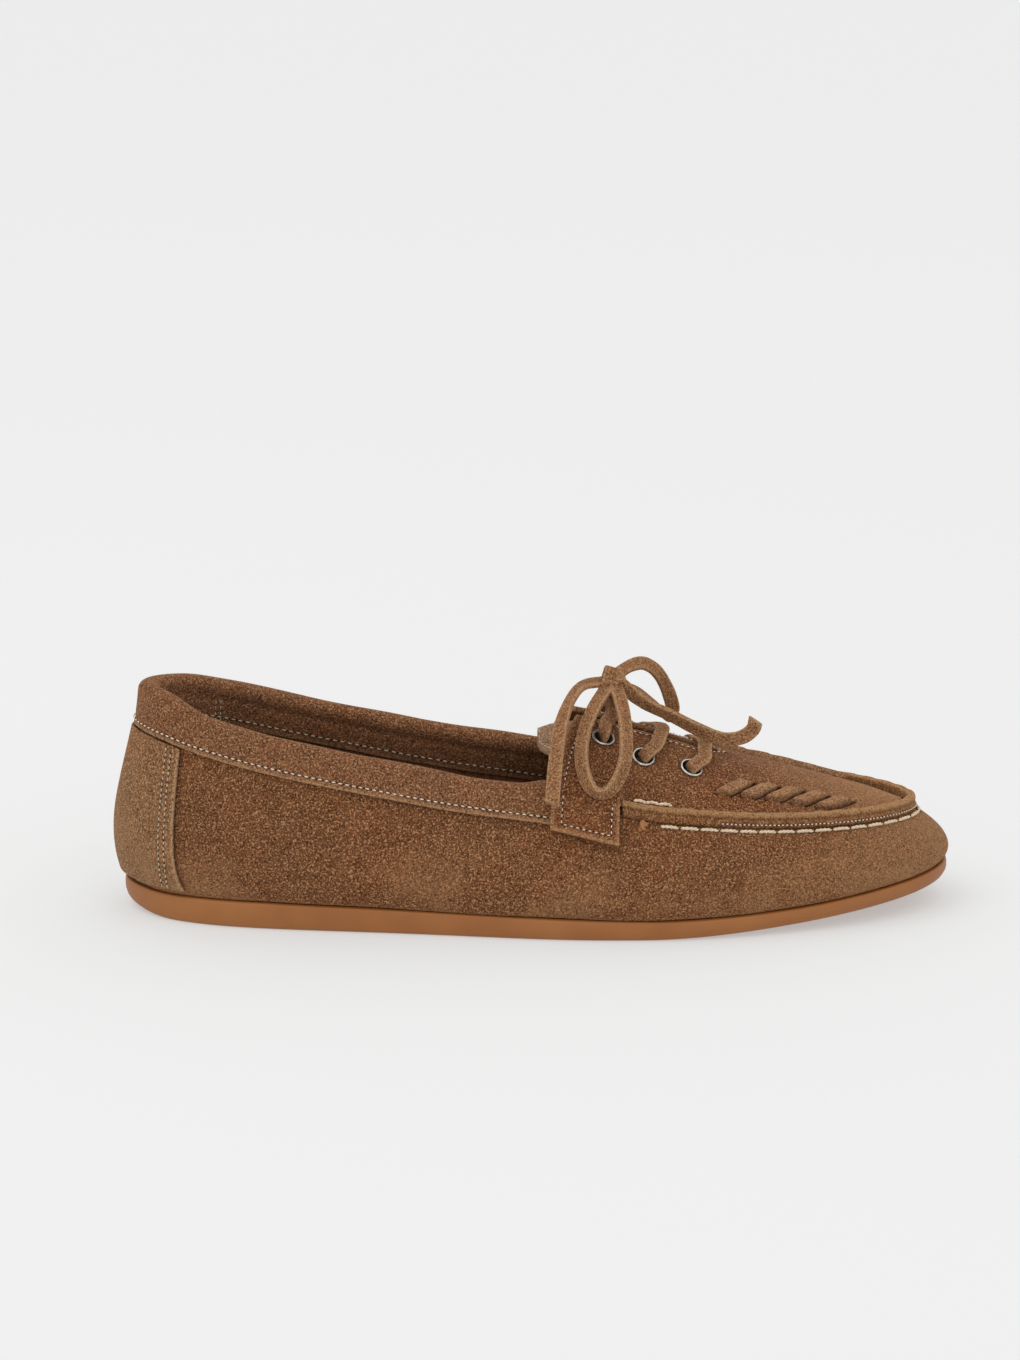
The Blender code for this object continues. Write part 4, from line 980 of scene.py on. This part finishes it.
def collar_section(s, face, inner):
    """The collar's folded section at s: up the outside, over the top edge, down the inside."""
    top, normal = on_wall(s, 1.0, 0.0)
    up = unit(top - wall(s, 0.97)[0, 0])
    centre = top - normal * (face + inner) / 2 + up * GAP
    radius = (inner - face) / 2
    outer_t, inner_t = t_below_top(s, collar_drop(s)[0]), t_below_top(s, COLLAR_INNER_DROP)
    outside = wall(s, np.linspace(outer_t, 1.0, 12), face)[0]
    inside = wall(s, np.linspace(1.0, inner_t, 11), inner)[0]
    turn = np.linspace(0, np.pi, 12)[1:-1]
    roll = [centre + normal * radius * math.cos(a) + up * radius * math.sin(a) for a in turn]
    return np.vstack([outside, roll, inside])


s = np.linspace(s_inner(COLLAR_END), 1.0 + s_outer(COLLAR_END), 400)
skin = np.array([collar_section(v, COLLAR_FACE, COLLAR_INNER) for v in s])
under = np.array([collar_section(v, COLLAR_FACE + COLLAR_THICK, COLLAR_INNER - COLLAR_THICK) for v in s])
facing = unit(skin - under)
skin = wavy(skin, facing, 16.0, 0.45, 3.0)
section = np.arange(skin.shape[1])
crease = np.exp(-((section - 24.0) / 0.9) ** 2) * 0.55
pull = np.exp(-((section - 2.0) / 1.2) ** 2) * 0.18
skin = skin - facing * (crease + pull)[None, :, None]
band = finished("collar_wrap", closed_shell(skin, skin - facing * COLLAR_THICK), COLLAR_SUEDE,
                ("collar_band",))
mark_cut_edges(band, [skin[:, 0], skin[:, -1]], 0.9)
line, out = wall_line(s[::2], collar_drop(s[::2]) - 1.9, COLLAR_FACE - 0.05)
stitches("collar_stitches", line, out, pitch=2.05, length=1.3, wide=0.42, high=0.4)
line, out = wall_line(s[::2], 8.2, COLLAR_INNER + 0.1)
stitches("collar_stitches_inside", line, -out, pitch=2.3, length=1.5, wide=0.44, high=0.42,
         look=PALE_THREAD)

# %% The linings
LINING_FRONT, HEEL_LINING_FRONT = 24.0, -99.0
LINING_DEPTH = 2.9
fore_outer, fore_inner = s_outer(LINING_FRONT), s_inner(LINING_FRONT)
heel_outer, heel_inner = s_outer(HEEL_LINING_FRONT), s_inner(HEEL_LINING_FRONT)
LININGS = {
    "quarter_lining_outer": (heel_outer + 0.001, fore_outer, LINING_SUEDE, "lining_suede"),
    "vamp_lining": (fore_outer, fore_inner, LINING_SUEDE, "lining_suede"),
    "quarter_lining_inner": (fore_inner, heel_inner - 0.001, LINING_SUEDE, "lining_suede"),
    "heel_lining": (heel_inner, 1.0 + heel_outer, HEEL_LINING, "heel_lining"),
}
t = np.linspace(0.09, 1.0, 26)
for name, (start, end, look, slot) in LININGS.items():
    s = np.linspace(start, end, max(40, int((end - start) * 420)))
    facing = wall_normal(s, t)
    face = wavy(wall(s, t, LINING_DEPTH), facing, 18.0, 0.2, 5.0)
    finished("soft_" + name, closed_shell(face, face + facing * 0.75, 0.0), look, (name,))
for _, side, edge_s in reversed(SIDES):
    for number, behind in enumerate((-0.9, 0.9), start=1):
        v = edge_s(HEEL_LINING_FRONT + behind)
        at = np.linspace(0.3, t_below_top(v, 2.5), 60)
        stitches(f"lining_stitches_{side}_{number}", wall(v, at, 4.5)[0], -wall_normal(v, at)[0],
                 pitch=2.0, length=1.3, wide=0.4, high=0.35, look=PALE_THREAD, holes=False)

# %% [markdown]
# The sock lining is the soft sheet under the foot. It is a crowned pad, lower along its middle
# where a foot has pressed it, and it turns up to meet the walls.

# %% The sock lining
PAD_LIFT = 2.1 + 1.4 + GAP
PAD_SECTION = [(inset, 0.1) for inset in (100, 60, 30, 9, 5.6)] + [
    (5.0, 0.8), (4.9, 2.0), (5.3, 2.9), (6.2, 3.1), (9, 2.9), (20, 2.6), (35, 2.4), (55, 2.25),
    (78, 2.2), (100, 2.2)]
s = np.linspace(0, 1, 301)
rings = [sole_ring(s, inset, lambda x, h=lift: sole_top(x) + PAD_LIFT + h, 9.0, (-96.0, 94.0))
         for inset, lift in PAD_SECTION]
bm = closed_grid(np.array(rings).transpose(1, 0, 2), 0.01, fill=False)
finished("soft_sock_lining", bm, SOCK_SUEDE, ("sock_lining",))

# %% [markdown]
# ## The hand-sewn seam
# Round the toe, the wall and the apron are sewn together with their edges standing up. The lip
# shows a pale cut edge on top, a groove under it where the two layers meet, and a fine machine
# row. Thick cream yarn then runs along the wall just below, in stitches 6 mm apart.

# %% The raised lip
RIM_HEIGHT = 3.3
# Across the lip from its outer face, and up it.
RIM_SECTION = [
    (0.0, 0.0), (-0.05, 0.18), (-0.05, 0.42), (0.0, 0.52), (0.14, 0.57), (0.14, 0.60), (0.0, 0.66),
    (-0.01, 0.84), (0.06, 0.95), (0.20, 1.0), (0.38, 0.99), (0.46, 0.93), (0.54, 0.93), (0.62, 0.98),
    (0.80, 0.98), (0.94, 0.92), (1.0, 0.80), (1.0, 0.5), (1.0, 0.2), (1.0, 0.0)]
s = np.linspace(s_outer(25.9), s_inner(25.9), 620)
inner = wall(s, 1.0, -GAP)[:, 0]
outer = np.array([wall(a, t_below_top(a, RIM_DROP), -GAP)[0, 0] for a in s])
phase = yarn_phase(s)
top_z = inner[:, 2] + RIM_HEIGHT - 0.08 * np.cos(2 * np.pi * phase) * smoothstep(30, 40, inner[:, 0])
across = inner - outer
grid = []
for share, rise in RIM_SECTION:
    ring = outer + across * share
    ring[:, 2] += (top_z - ring[:, 2]) * rise
    grid.append(ring)
grid = np.array(grid).transpose(1, 0, 2)
rough = np.array([noise.noise(Vector(p / 2.2)) for p in grid.reshape(-1, 3)]).reshape(grid.shape[:2])
grid[:, 1:-1, 2] += rough[:, 1:-1] * 0.14
bm = closed_grid(np.concatenate([grid, grid[:, :1]], axis=1), 0.005)
rim = finished("seam_lip", bm, RIM_SUEDE, ("seam_rim",))
mark_cut_edges(rim, [grid[:, k] for k in (7, 8, 9, 10, 13, 14)], 0.6)
in_row = (s >= s_outer(57.0)) & (s <= s_inner(34.0))
line = (outer + across * -0.10)[in_row]
line[:, 2] += ((top_z - outer[:, 2]) * 0.30)[in_row]
out = -across[in_row]
out[:, 2] *= 0.3
stitches("lip_stitches", line, out, pitch=1.35, length=0.8, wide=0.4, high=0.42)

# %% Cream yarn stitches
YARN_STEP, YARN_TWIST = 0.32, 2.6


def yarn(bm, points, radius=0.36):
    """Two plies of yarn twisted round a line."""
    line = dense_line(points, YARN_STEP)
    along = unit(np.gradient(line, axis=0))
    side = unit(np.cross(along, [0.1, 0.2, 1.0]))
    up = np.cross(side, along)
    share = np.linspace(0, 1, len(line))
    plump = np.sqrt(np.clip(1 - np.abs(2 * share - 1) ** 5, 0.02, 1))
    turn = np.linspace(0, 2 * np.pi, 7)
    thick = (radius * plump)[:, None, None]
    run = np.arange(len(line)) * YARN_STEP
    for ply in (0.0, np.pi):
        angle = (run / YARN_TWIST * 2 * np.pi + ply)[:, None]
        centre = line + (side * np.cos(angle) + up * np.sin(angle)) * radius * 0.55
        rings = (centre[:, None, :] + side[:, None, :] * (np.cos(turn)[None, :, None] * thick)
                 + up[:, None, :] * (np.sin(turn)[None, :, None] * thick))
        join_into(bm, closed_grid(rings, 0.002))


table_s = np.linspace(s_outer(28.0), s_inner(28.0), 900)
table_phase = yarn_phase(table_s)
yarn_mesh = bmesh.new()
first = int(np.interp(s_outer(35.5), table_s, table_phase)) + 1
last = int(np.interp(s_inner(31.0), table_s, table_phase))
for k in range(first, last):
    ends = np.interp([k + 0.07, k + 0.22, k + 0.80, k + 0.95], table_phase, table_s)
    line, out = wall_line(ends, YARN_DROP, 0.0)
    line[[0, 3]] -= out[[0, 3]] * 0.05
    line[[1, 2]] += out[[1, 2]] * 0.5
    yarn(yarn_mesh, smooth_line(line, 0.6))
finished("cream_yarn_stitches", yarn_mesh, CREAM_YARN, ("seam_thread",))

# %% [markdown]
# Where the yarn starts, behind the lip's rear end, three long stitches run along the top of the
# lip and a knotted tan tail hangs under it.

# %% Long stitches and the tail
long_mesh = bmesh.new()
for start, end in ((29.2, 33.2), (33.0, 37.6), (37.2, 41.6)):
    x = np.linspace(start, end, 4)
    place, _ = wall_line(s_outer(x), 0.02, -0.9)
    place[:, 2] += 3.35 + np.array([-0.3, 0.12, 0.12, -0.3])
    yarn(long_mesh, smooth_line(place, 0.6))
finished("long_yarn_stitches", long_mesh, CREAM_YARN, ())
tail_mesh = bmesh.new()
line, out = wall_line(s_outer([32.8, 32.6, 32.0, 31.8]), 4.0, 0.0)
line += out * np.array([0.4, 1.0, 1.1, 0.6])[:, None]
line[:, 2] += np.array([0.6, 0.2, -1.0, -2.0])
yarn(tail_mesh, smooth_line(line, 0.5), 0.95)
finished("yarn_tail", tail_mesh, TAN_YARN, ())

# %% [markdown]
# ## The apron
# One piece of suede makes the facings with their eyelets, the two square tabs and the toe apron.
# Its rows run from the seam to the middle, so its grid follows the seam and the slit. The holes
# and slots are cut with a Boolean, because real ones are punched through the finished piece.

# %% The apron's sheets
TAB_ROWS = 20
APRON_COLUMNS = 30


def apron_rows():
    """Upper surface of the apron and its tabs: a row from each edge point to the middle."""
    ahead = np.sin(np.linspace(0, np.pi / 2, 52)[1:])
    x = np.concatenate([
        np.linspace(TAB_REAR, TAB_FRONT, TAB_ROWS),
        np.linspace(TAB_FRONT + 0.8, SLIT_END - 5.5, 26),
        SLIT_END - np.array([4.6, 3.7, 2.8, 1.9, 1.2, 0.6, 0.2, 0.0]),
        SLIT_END + (EDGE[EDGE_TIP, 0] - SLIT_END) * ahead])
    outer = np.interp(x, EDGE[:EDGE_TIP + 1, 0], EDGE_S[:EDGE_TIP + 1])
    inner = np.interp(x, EDGE[EDGE_TIP:, 0][::-1], EDGE_S[EDGE_TIP:][::-1])
    s = np.concatenate([outer, inner[:-1][::-1]])
    x = np.concatenate([x, x[:-1][::-1]])
    edge = apron_edge_point(s)
    edge[:, 0] = x
    share = np.clip((x - TAB_REAR) / (SLIT_END - TAB_REAR), 0, 1)
    axis_x = np.minimum(np.where(x < SLIT_END, SLIT_REAR + share * (SLIT_END - SLIT_REAR), x), AXIS_END)
    side = np.where(s < TOE_S, -1.0, 1.0)
    target_y = axis_y(axis_x) + side * slit_half(axis_x)
    r = np.linspace(0, 1, APRON_COLUMNS)[None, :]
    x = edge[:, :1] * (1 - r) + axis_x[:, None] * r
    y = edge[:, 1:2] * (1 - r) + target_y[:, None] * r
    face = np.stack([x, y, apron_height(x, y)], axis=2)
    face[:, 0] = edge
    normal = apron_normal(x, y)
    hug = smoothstep(0.0, 0.35, r)[..., None]
    sideways = unit((edge[:, None] - face[:, 1:2]) * (1, 1, 0))
    at_tab = (1 - smoothstep(TAB_FRONT, TAB_FRONT + TAB_STEP, edge[:, 0]))[:, None, None]
    return s, face, unit(normal * (1 - at_tab * (1 - hug)) + sideways * at_tab * (1 - hug))


def tab_rows(s, edge, depth):
    """The tab below the apron's edge, hugging the wall outside the collar."""
    rows = []
    for value, top in zip(s, edge):
        drops = TAB_DROP * np.array([1.0, 0.84, 0.67, 0.5, 0.33, 0.17])
        t = t_below_top(value, drops)
        rows.append(np.vstack([wall(value, t, depth)[0], top]))
    return np.array(rows)


edge_s, face, normal = apron_rows()
ripple = wavy(face, normal, 15.0, 0.3, 11.0)
face[:, 1:] = ripple[:, 1:]
under = face - normal * APRON_THICK
bm = bmesh.new()
tab_slices = (slice(0, TAB_ROWS), slice(len(edge_s) - TAB_ROWS, len(edge_s)))
for points, depth in ((face, TAB_DEPTH), (under, TAB_DEPTH + APRON_THICK)):
    add_grid(bm, points)
    for rows in tab_slices:
        add_grid(bm, tab_rows(edge_s[rows], points[rows, 0], depth))
bmesh.ops.remove_doubles(bm, verts=bm.verts, dist=0.01)
bmesh.ops.bridge_loops(bm, edges=[e for e in bm.edges if e.is_boundary])
bmesh.ops.recalc_face_normals(bm, faces=bm.faces)
round_corners(bm, 1.0, 0.3)
print("apron sheets:", len(bm.faces), "faces, open edges", sum(e.is_boundary for e in bm.edges))

# %% [markdown]
# Ten short bars of suede are woven through slots beside the lacing, five on each side. Every bar
# lies slanted on the apron and dives into a slot at each long edge.

# %% Places of the bars and slots, and the cutter
WEAVE_START, WEAVE_PITCH, WEAVE_OVER, WEAVE_COUNT = 58.0, 7.6, 4.5, 5
WEAVE_OUT = {-1: (19.0, 15.5), 1: (12.5, 8.5)}
WEAVE_SLANT = (3.6, 3.2)
BAR_MIDDLE, BAR_HALF_WIDE, BAR_HALF_LONG = 1.75, 2.9, 5.4


def weave_place(side, along):
    """x, y of a point a distance along the row of bars."""
    first, last = WEAVE_OUT[side]
    out = first + (last - first) * along / (WEAVE_PITCH * WEAVE_COUNT)
    return WEAVE_START + along, axis_y(WEAVE_START + along) + side * out


def weave_slant(side):
    return math.atan2(-side * WEAVE_SLANT[1], WEAVE_SLANT[0])


def stand_on_apron(x, y, lift, slant=0.0):
    """A matrix with its z along the apron's normal and its x turned by a slant in plan."""
    out = Vector(apron_normal(x, y))
    forward = Vector((math.cos(slant), math.sin(slant), 0))
    forward.z = -forward.dot(out) / out.z
    forward.normalize()
    turn = Matrix((forward, out.cross(forward), out)).transposed().to_4x4()
    return Matrix.Translation(Vector(over_apron(x, y, lift))) @ turn


cut = bmesh.new()
for _, x, y in eyelet_places():
    bmesh.ops.create_cone(cut, cap_ends=True, segments=32, radius1=3.0, radius2=3.0, depth=8.0,
                          matrix=stand_on_apron(x, y, 0.0))
for side, _, _ in SIDES:
    for k in range(WEAVE_COUNT):
        for offset in (0.3, 0.3 + WEAVE_OVER):
            x, y = weave_place(side, k * WEAVE_PITCH + offset)
            shape = Matrix.Diagonal((11.6, 1.25, 7.0, 1.0))
            bmesh.ops.create_cube(cut, size=1.0, matrix=stand_on_apron(x, y, -0.7, weave_slant(side)) @ shape)
bmesh.ops.scale(cut, vec=(MM, MM, MM), verts=cut.verts)
cutter_mesh = bpy.data.meshes.new("punch")
cut.to_mesh(cutter_mesh)
cut.free()
cutter = placed("punch", cutter_mesh)

apron = finished("apron_and_tabs", bm, APRON_SUEDE, ("apron",))
punched = apron.modifiers.new("holes", "BOOLEAN")
punched.operation = "DIFFERENCE"
punched.solver = "EXACT"
punched.use_self = True
punched.object = cutter
graph = bpy.context.evaluated_depsgraph_get()
result_mesh = bpy.data.meshes.new_from_object(apron.evaluated_get(graph))
apron.modifiers.clear()
apron.data = result_mesh
bpy.data.objects.remove(cutter)
apron.data.shade_smooth()
apron.data.set_sharp_from_angle(angle=math.radians(50))
tab_edges = []
for rows in tab_slices:
    tab = tab_rows(edge_s[rows], face[rows, 0], TAB_DEPTH)
    tab_edges += [tab[:, 0], tab[0], tab[-1]]
slit = face[:, -1][face[:, -1, 0] <= SLIT_END]
mark_cut_edges(apron, [dense_line(e, 0.5) for e in tab_edges] + [face[0], face[-1], slit])
print("apron after punching:", len(apron.data.polygons), "faces")

# %% The woven bars
u, v = np.meshgrid(np.linspace(-1, 1, 29), np.linspace(-1, 1, 19), indexing="ij")
corner = 1 - 0.22 * np.abs(u) ** 5 * np.abs(v) ** 3
dome = (1 - np.abs(v) ** 7) * (1 - np.abs(u) ** 9)
for side, side_name, _ in SIDES:
    slant = weave_slant(side)
    across_bar = Matrix.Rotation(-slant, 3, "Z") @ Vector((BAR_HALF_WIDE, 0, 0))
    px = (u * BAR_HALF_LONG + v * across_bar.x) * corner
    py = v * across_bar.y * corner
    sink = 0.35 * np.clip(np.sign(across_bar.y) * v, 0, 1) ** 4
    top = np.stack([px, py, -0.6 + 2.35 * dome ** 0.5 - sink], axis=2)
    base = np.stack([px * 0.98, py * 0.97, np.full_like(px, -0.75)], axis=2)
    bars, rims = bmesh.new(), []
    for k in range(WEAVE_COUNT):
        place = stand_on_apron(*weave_place(side, k * WEAVE_PITCH + BAR_MIDDLE), 0.0, slant)
        shell = closed_shell(top, base, 0.0)
        bmesh.ops.transform(shell, matrix=place, verts=shell.verts)
        join_into(bars, shell)
        rims += [np.array([place @ Vector((x + end * across_bar.x, end * across_bar.y, 0.5))
                           for x in np.linspace(-5.0, 5.0, 22)]) for end in (-1, 1)]
    woven = finished(f"woven_bars_{side_name}", bars, BAR_SUEDE, (f"woven_strip_{side_name}",))
    mark_cut_edges(woven, rims, 0.5)

# %% [markdown]
# ## Eyelets
# An eyelet is turned metal: a thin rolled flange on top, a barrel through the suede and a
# clenched rim below. One profile is spun round the hole's axis.

# %% Eyelets
# Radius and height of the profile.
PROFILE = [
    (2.72, 0.1), (2.76, 0.55), (2.9, 0.78), (3.12, 0.86), (3.35, 0.78), (3.5, 0.55), (3.5, 0.3),
    (3.3, 0.2), (3.0, 0.15), (2.9, -0.1), (2.88, -1.9), (3.2, -2.1), (3.15, -2.4), (2.8, -2.35),
    (2.7, -1.8)]
for name, x, y in eyelet_places():
    bm = bmesh.new()
    ring = [bm.verts.new((radius, 0, z)) for radius, z in PROFILE]
    edges = [bm.edges.new((ring[i], ring[(i + 1) % len(ring)])) for i in range(len(ring))]
    bmesh.ops.spin(bm, geom=ring + edges, cent=(0, 0, 0), axis=(0, 0, 1), angle=2 * math.pi,
                   steps=40, use_merge=True)
    bmesh.ops.recalc_face_normals(bm, faces=bm.faces)
    bmesh.ops.transform(bm, matrix=stand_on_apron(x, y, 0.0), verts=bm.verts)
    finished("metal_" + name, bm, METAL, (name,))

# %% [markdown]
# ## Topstitching on the apron
# A fine row follows the tabs and the facings 2.3 mm inside their edges, and closes in a V where
# the slit ends.

# %% Topstitching
ROW_INSET, V_START, V_LENGTH = 2.3, SLIT_END - 4.5, 7.0


def beside_slit(x):
    """How far from the middle the row runs along the slit."""
    return slit_half(x) + 2.2


for side, side_name, s_of in SIDES:
    front_s, rear_s = s_of(TAB_FRONT - ROW_INSET), s_of(TAB_REAR + ROW_INSET)
    low_t = t_below_top(front_s, TAB_DROP - ROW_INSET)
    row = [(front_s, low_t + (1.0 - low_t) * (1 - share)) for share in np.linspace(0, 1, 14)]
    row += [(v, t_below_top(v, TAB_DROP - ROW_INSET)) for v in np.linspace(front_s, rear_s, 16)[1:]]
    t = row[-1][1]
    for share in np.linspace(0, 0.92, 12)[1:]:
        t = t + (1.0 - t) * share * 0.35
        row.append((rear_s, t))
    found = [on_wall(v, t, TAB_DEPTH - 0.05) for v, t in row]
    edge = apron_edge_point(rear_s)[0]
    corner_x = SLIT_REAR + 2.4
    corner_y = axis_y(corner_x) + side * beside_slit(corner_x)
    row = [(edge[0] + (corner_x - edge[0]) * share, edge[1] + (corner_y - edge[1]) * share)
           for share in np.linspace(0.10, 1, 22)]
    row += [(x, axis_y(x) + side * beside_slit(x)) for x in np.linspace(corner_x + 1, V_START, 40)]
    for share in np.linspace(0, 1, 10)[1:]:
        x = V_START + V_LENGTH * share
        row.append((x, axis_y(x) + side * beside_slit(V_START) * (1 - share)))
    found += [on_apron(x, y) for x, y in row]
    route, out = zip(*found)
    stitches(f"apron_stitches_{side_name}", route, out, pitch=1.9, length=1.05, wide=0.36)

# %% [markdown]
# ## The tongue
# The tongue is a loose flap with a rounded end, stitched near its edge. It is its own body, so
# its pieces ride with it.

# %% The tongue
x = 1.5 + 59.5 * np.linspace(0, 1, 100) ** 1.5
round_end = np.sqrt(np.maximum(1 - (1 - np.clip((x - 1.5) / 13.0, 0, 1)) ** 2, 0.0004))
half = 18.0 * round_end * (1 - 0.25 * np.clip((x - 20) / 40, 0, 1))
across = np.linspace(-1, 1, 37)
tip_droop = 4.5 * np.clip((18 - x) / 18, 0, 1) ** 1.3
side_droop = 4.0 * np.clip((14 - x) / 12, 0, 1)
droop = tip_droop[:, None] + side_droop[:, None] * across ** 2
y = axis_y(x)[:, None] + half[:, None] * across
wide_x = np.repeat(x[:, None], len(across), axis=1)
tongue_face = over_apron(wide_x, y, -APRON_THICK - 1.9)
tongue_face[:, :, 2] -= droop
tongue_out = apron_normal(wide_x, y)
tongue_face = wavy(tongue_face, tongue_out, 14.0, 0.25, 17.0)
tongue = finished("tongue_flap", closed_shell(tongue_face, tongue_face - tongue_out * 1.3, 0.3),
                  TONGUE_SUEDE, ("tongue",), "tongue")
mark_cut_edges(tongue, [tongue_face[0], tongue_face[:, 0], tongue_face[:, -1]], 0.8)
right = int(np.argmin(np.abs(across - 0.87)))
left = len(across) - 1 - right
loop = [(i, right) for i in range(60, 5, -1)] + [(4, j) for j in range(right, left - 1, -1)]
loop += [(i, left) for i in range(6, 61)]
rows, columns = np.array(loop).T
stitches("tongue_stitches", tongue_face[rows, columns], tongue_out[rows, columns], pitch=2.0, length=1.7,
         high=0.36, look=PALE_THREAD, holes=False, body="tongue")

# %% [markdown]
# ## Hidden layers
# The board under the sock lining, the cork below the board and the stiff counter inside the heel
# keep their solids. Only their finish changes.

# %% Finishes for the hidden layers
for node, look in (("insole_board", BOARD), ("heel_counter", BOARD), ("bottom_filler", CORK)):
    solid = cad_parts[node]
    solid.data.materials.clear()
    solid.data.materials.append(look)
    print(node, "wears", look.name)

# %% [markdown]
# ## Floor and light
# A plain pale floor runs far past the view. The light is a bright, even surround with one large
# soft lamp above and behind the heel and a weaker one in front.

# %% Floor, surround and lamps
floor_mesh = bpy.data.meshes.new("floor")
bm = bmesh.new()
bmesh.ops.create_grid(bm, x_segments=2, y_segments=2, size=9.0)
bm.to_mesh(floor_mesh)
bm.free()
floor = placed("floor", floor_mesh)
floor_mesh.materials.append(principled("floor_paint", {
    "Roughness": 0.9, "Base Color": (0.44, 0.444, 0.44, 1), "Emission Color": (1.0, 1.0, 0.995, 1),
    "Emission Strength": 0.385, "Specular IOR Level": 0.1})[0])

world = bpy.data.worlds.new("surround")
world.use_nodes = True
world.node_tree.nodes["Background"].inputs["Color"].default_value = (0.995, 1.0, 0.998, 1)
world.node_tree.nodes["Background"].inputs["Strength"].default_value = 0.985
bpy.context.scene.world = world


def lamp(name, place, size, power):
    light = bpy.data.lights.new(name, "AREA")
    light.shape = "DISK"
    light.size = size
    light.energy = power
    made = placed(name, light)
    made.location = place
    made.rotation_euler = (Vector((0.0, 0.0, 0.03)) - Vector(place)).to_track_quat("-Z", "Y").to_euler()


lamp("key", (-0.75, -0.25, 1.35), 1.1, 2.6)
lamp("front", (0.2, -1.4, 0.9), 1.2, 0.9)
bpy.context.scene.view_settings.view_transform = "Standard"
bpy.context.scene.view_settings.look = "None"

for old in (o for o in list(bpy.data.meshes) if o.users == 0):
    bpy.data.meshes.remove(old)
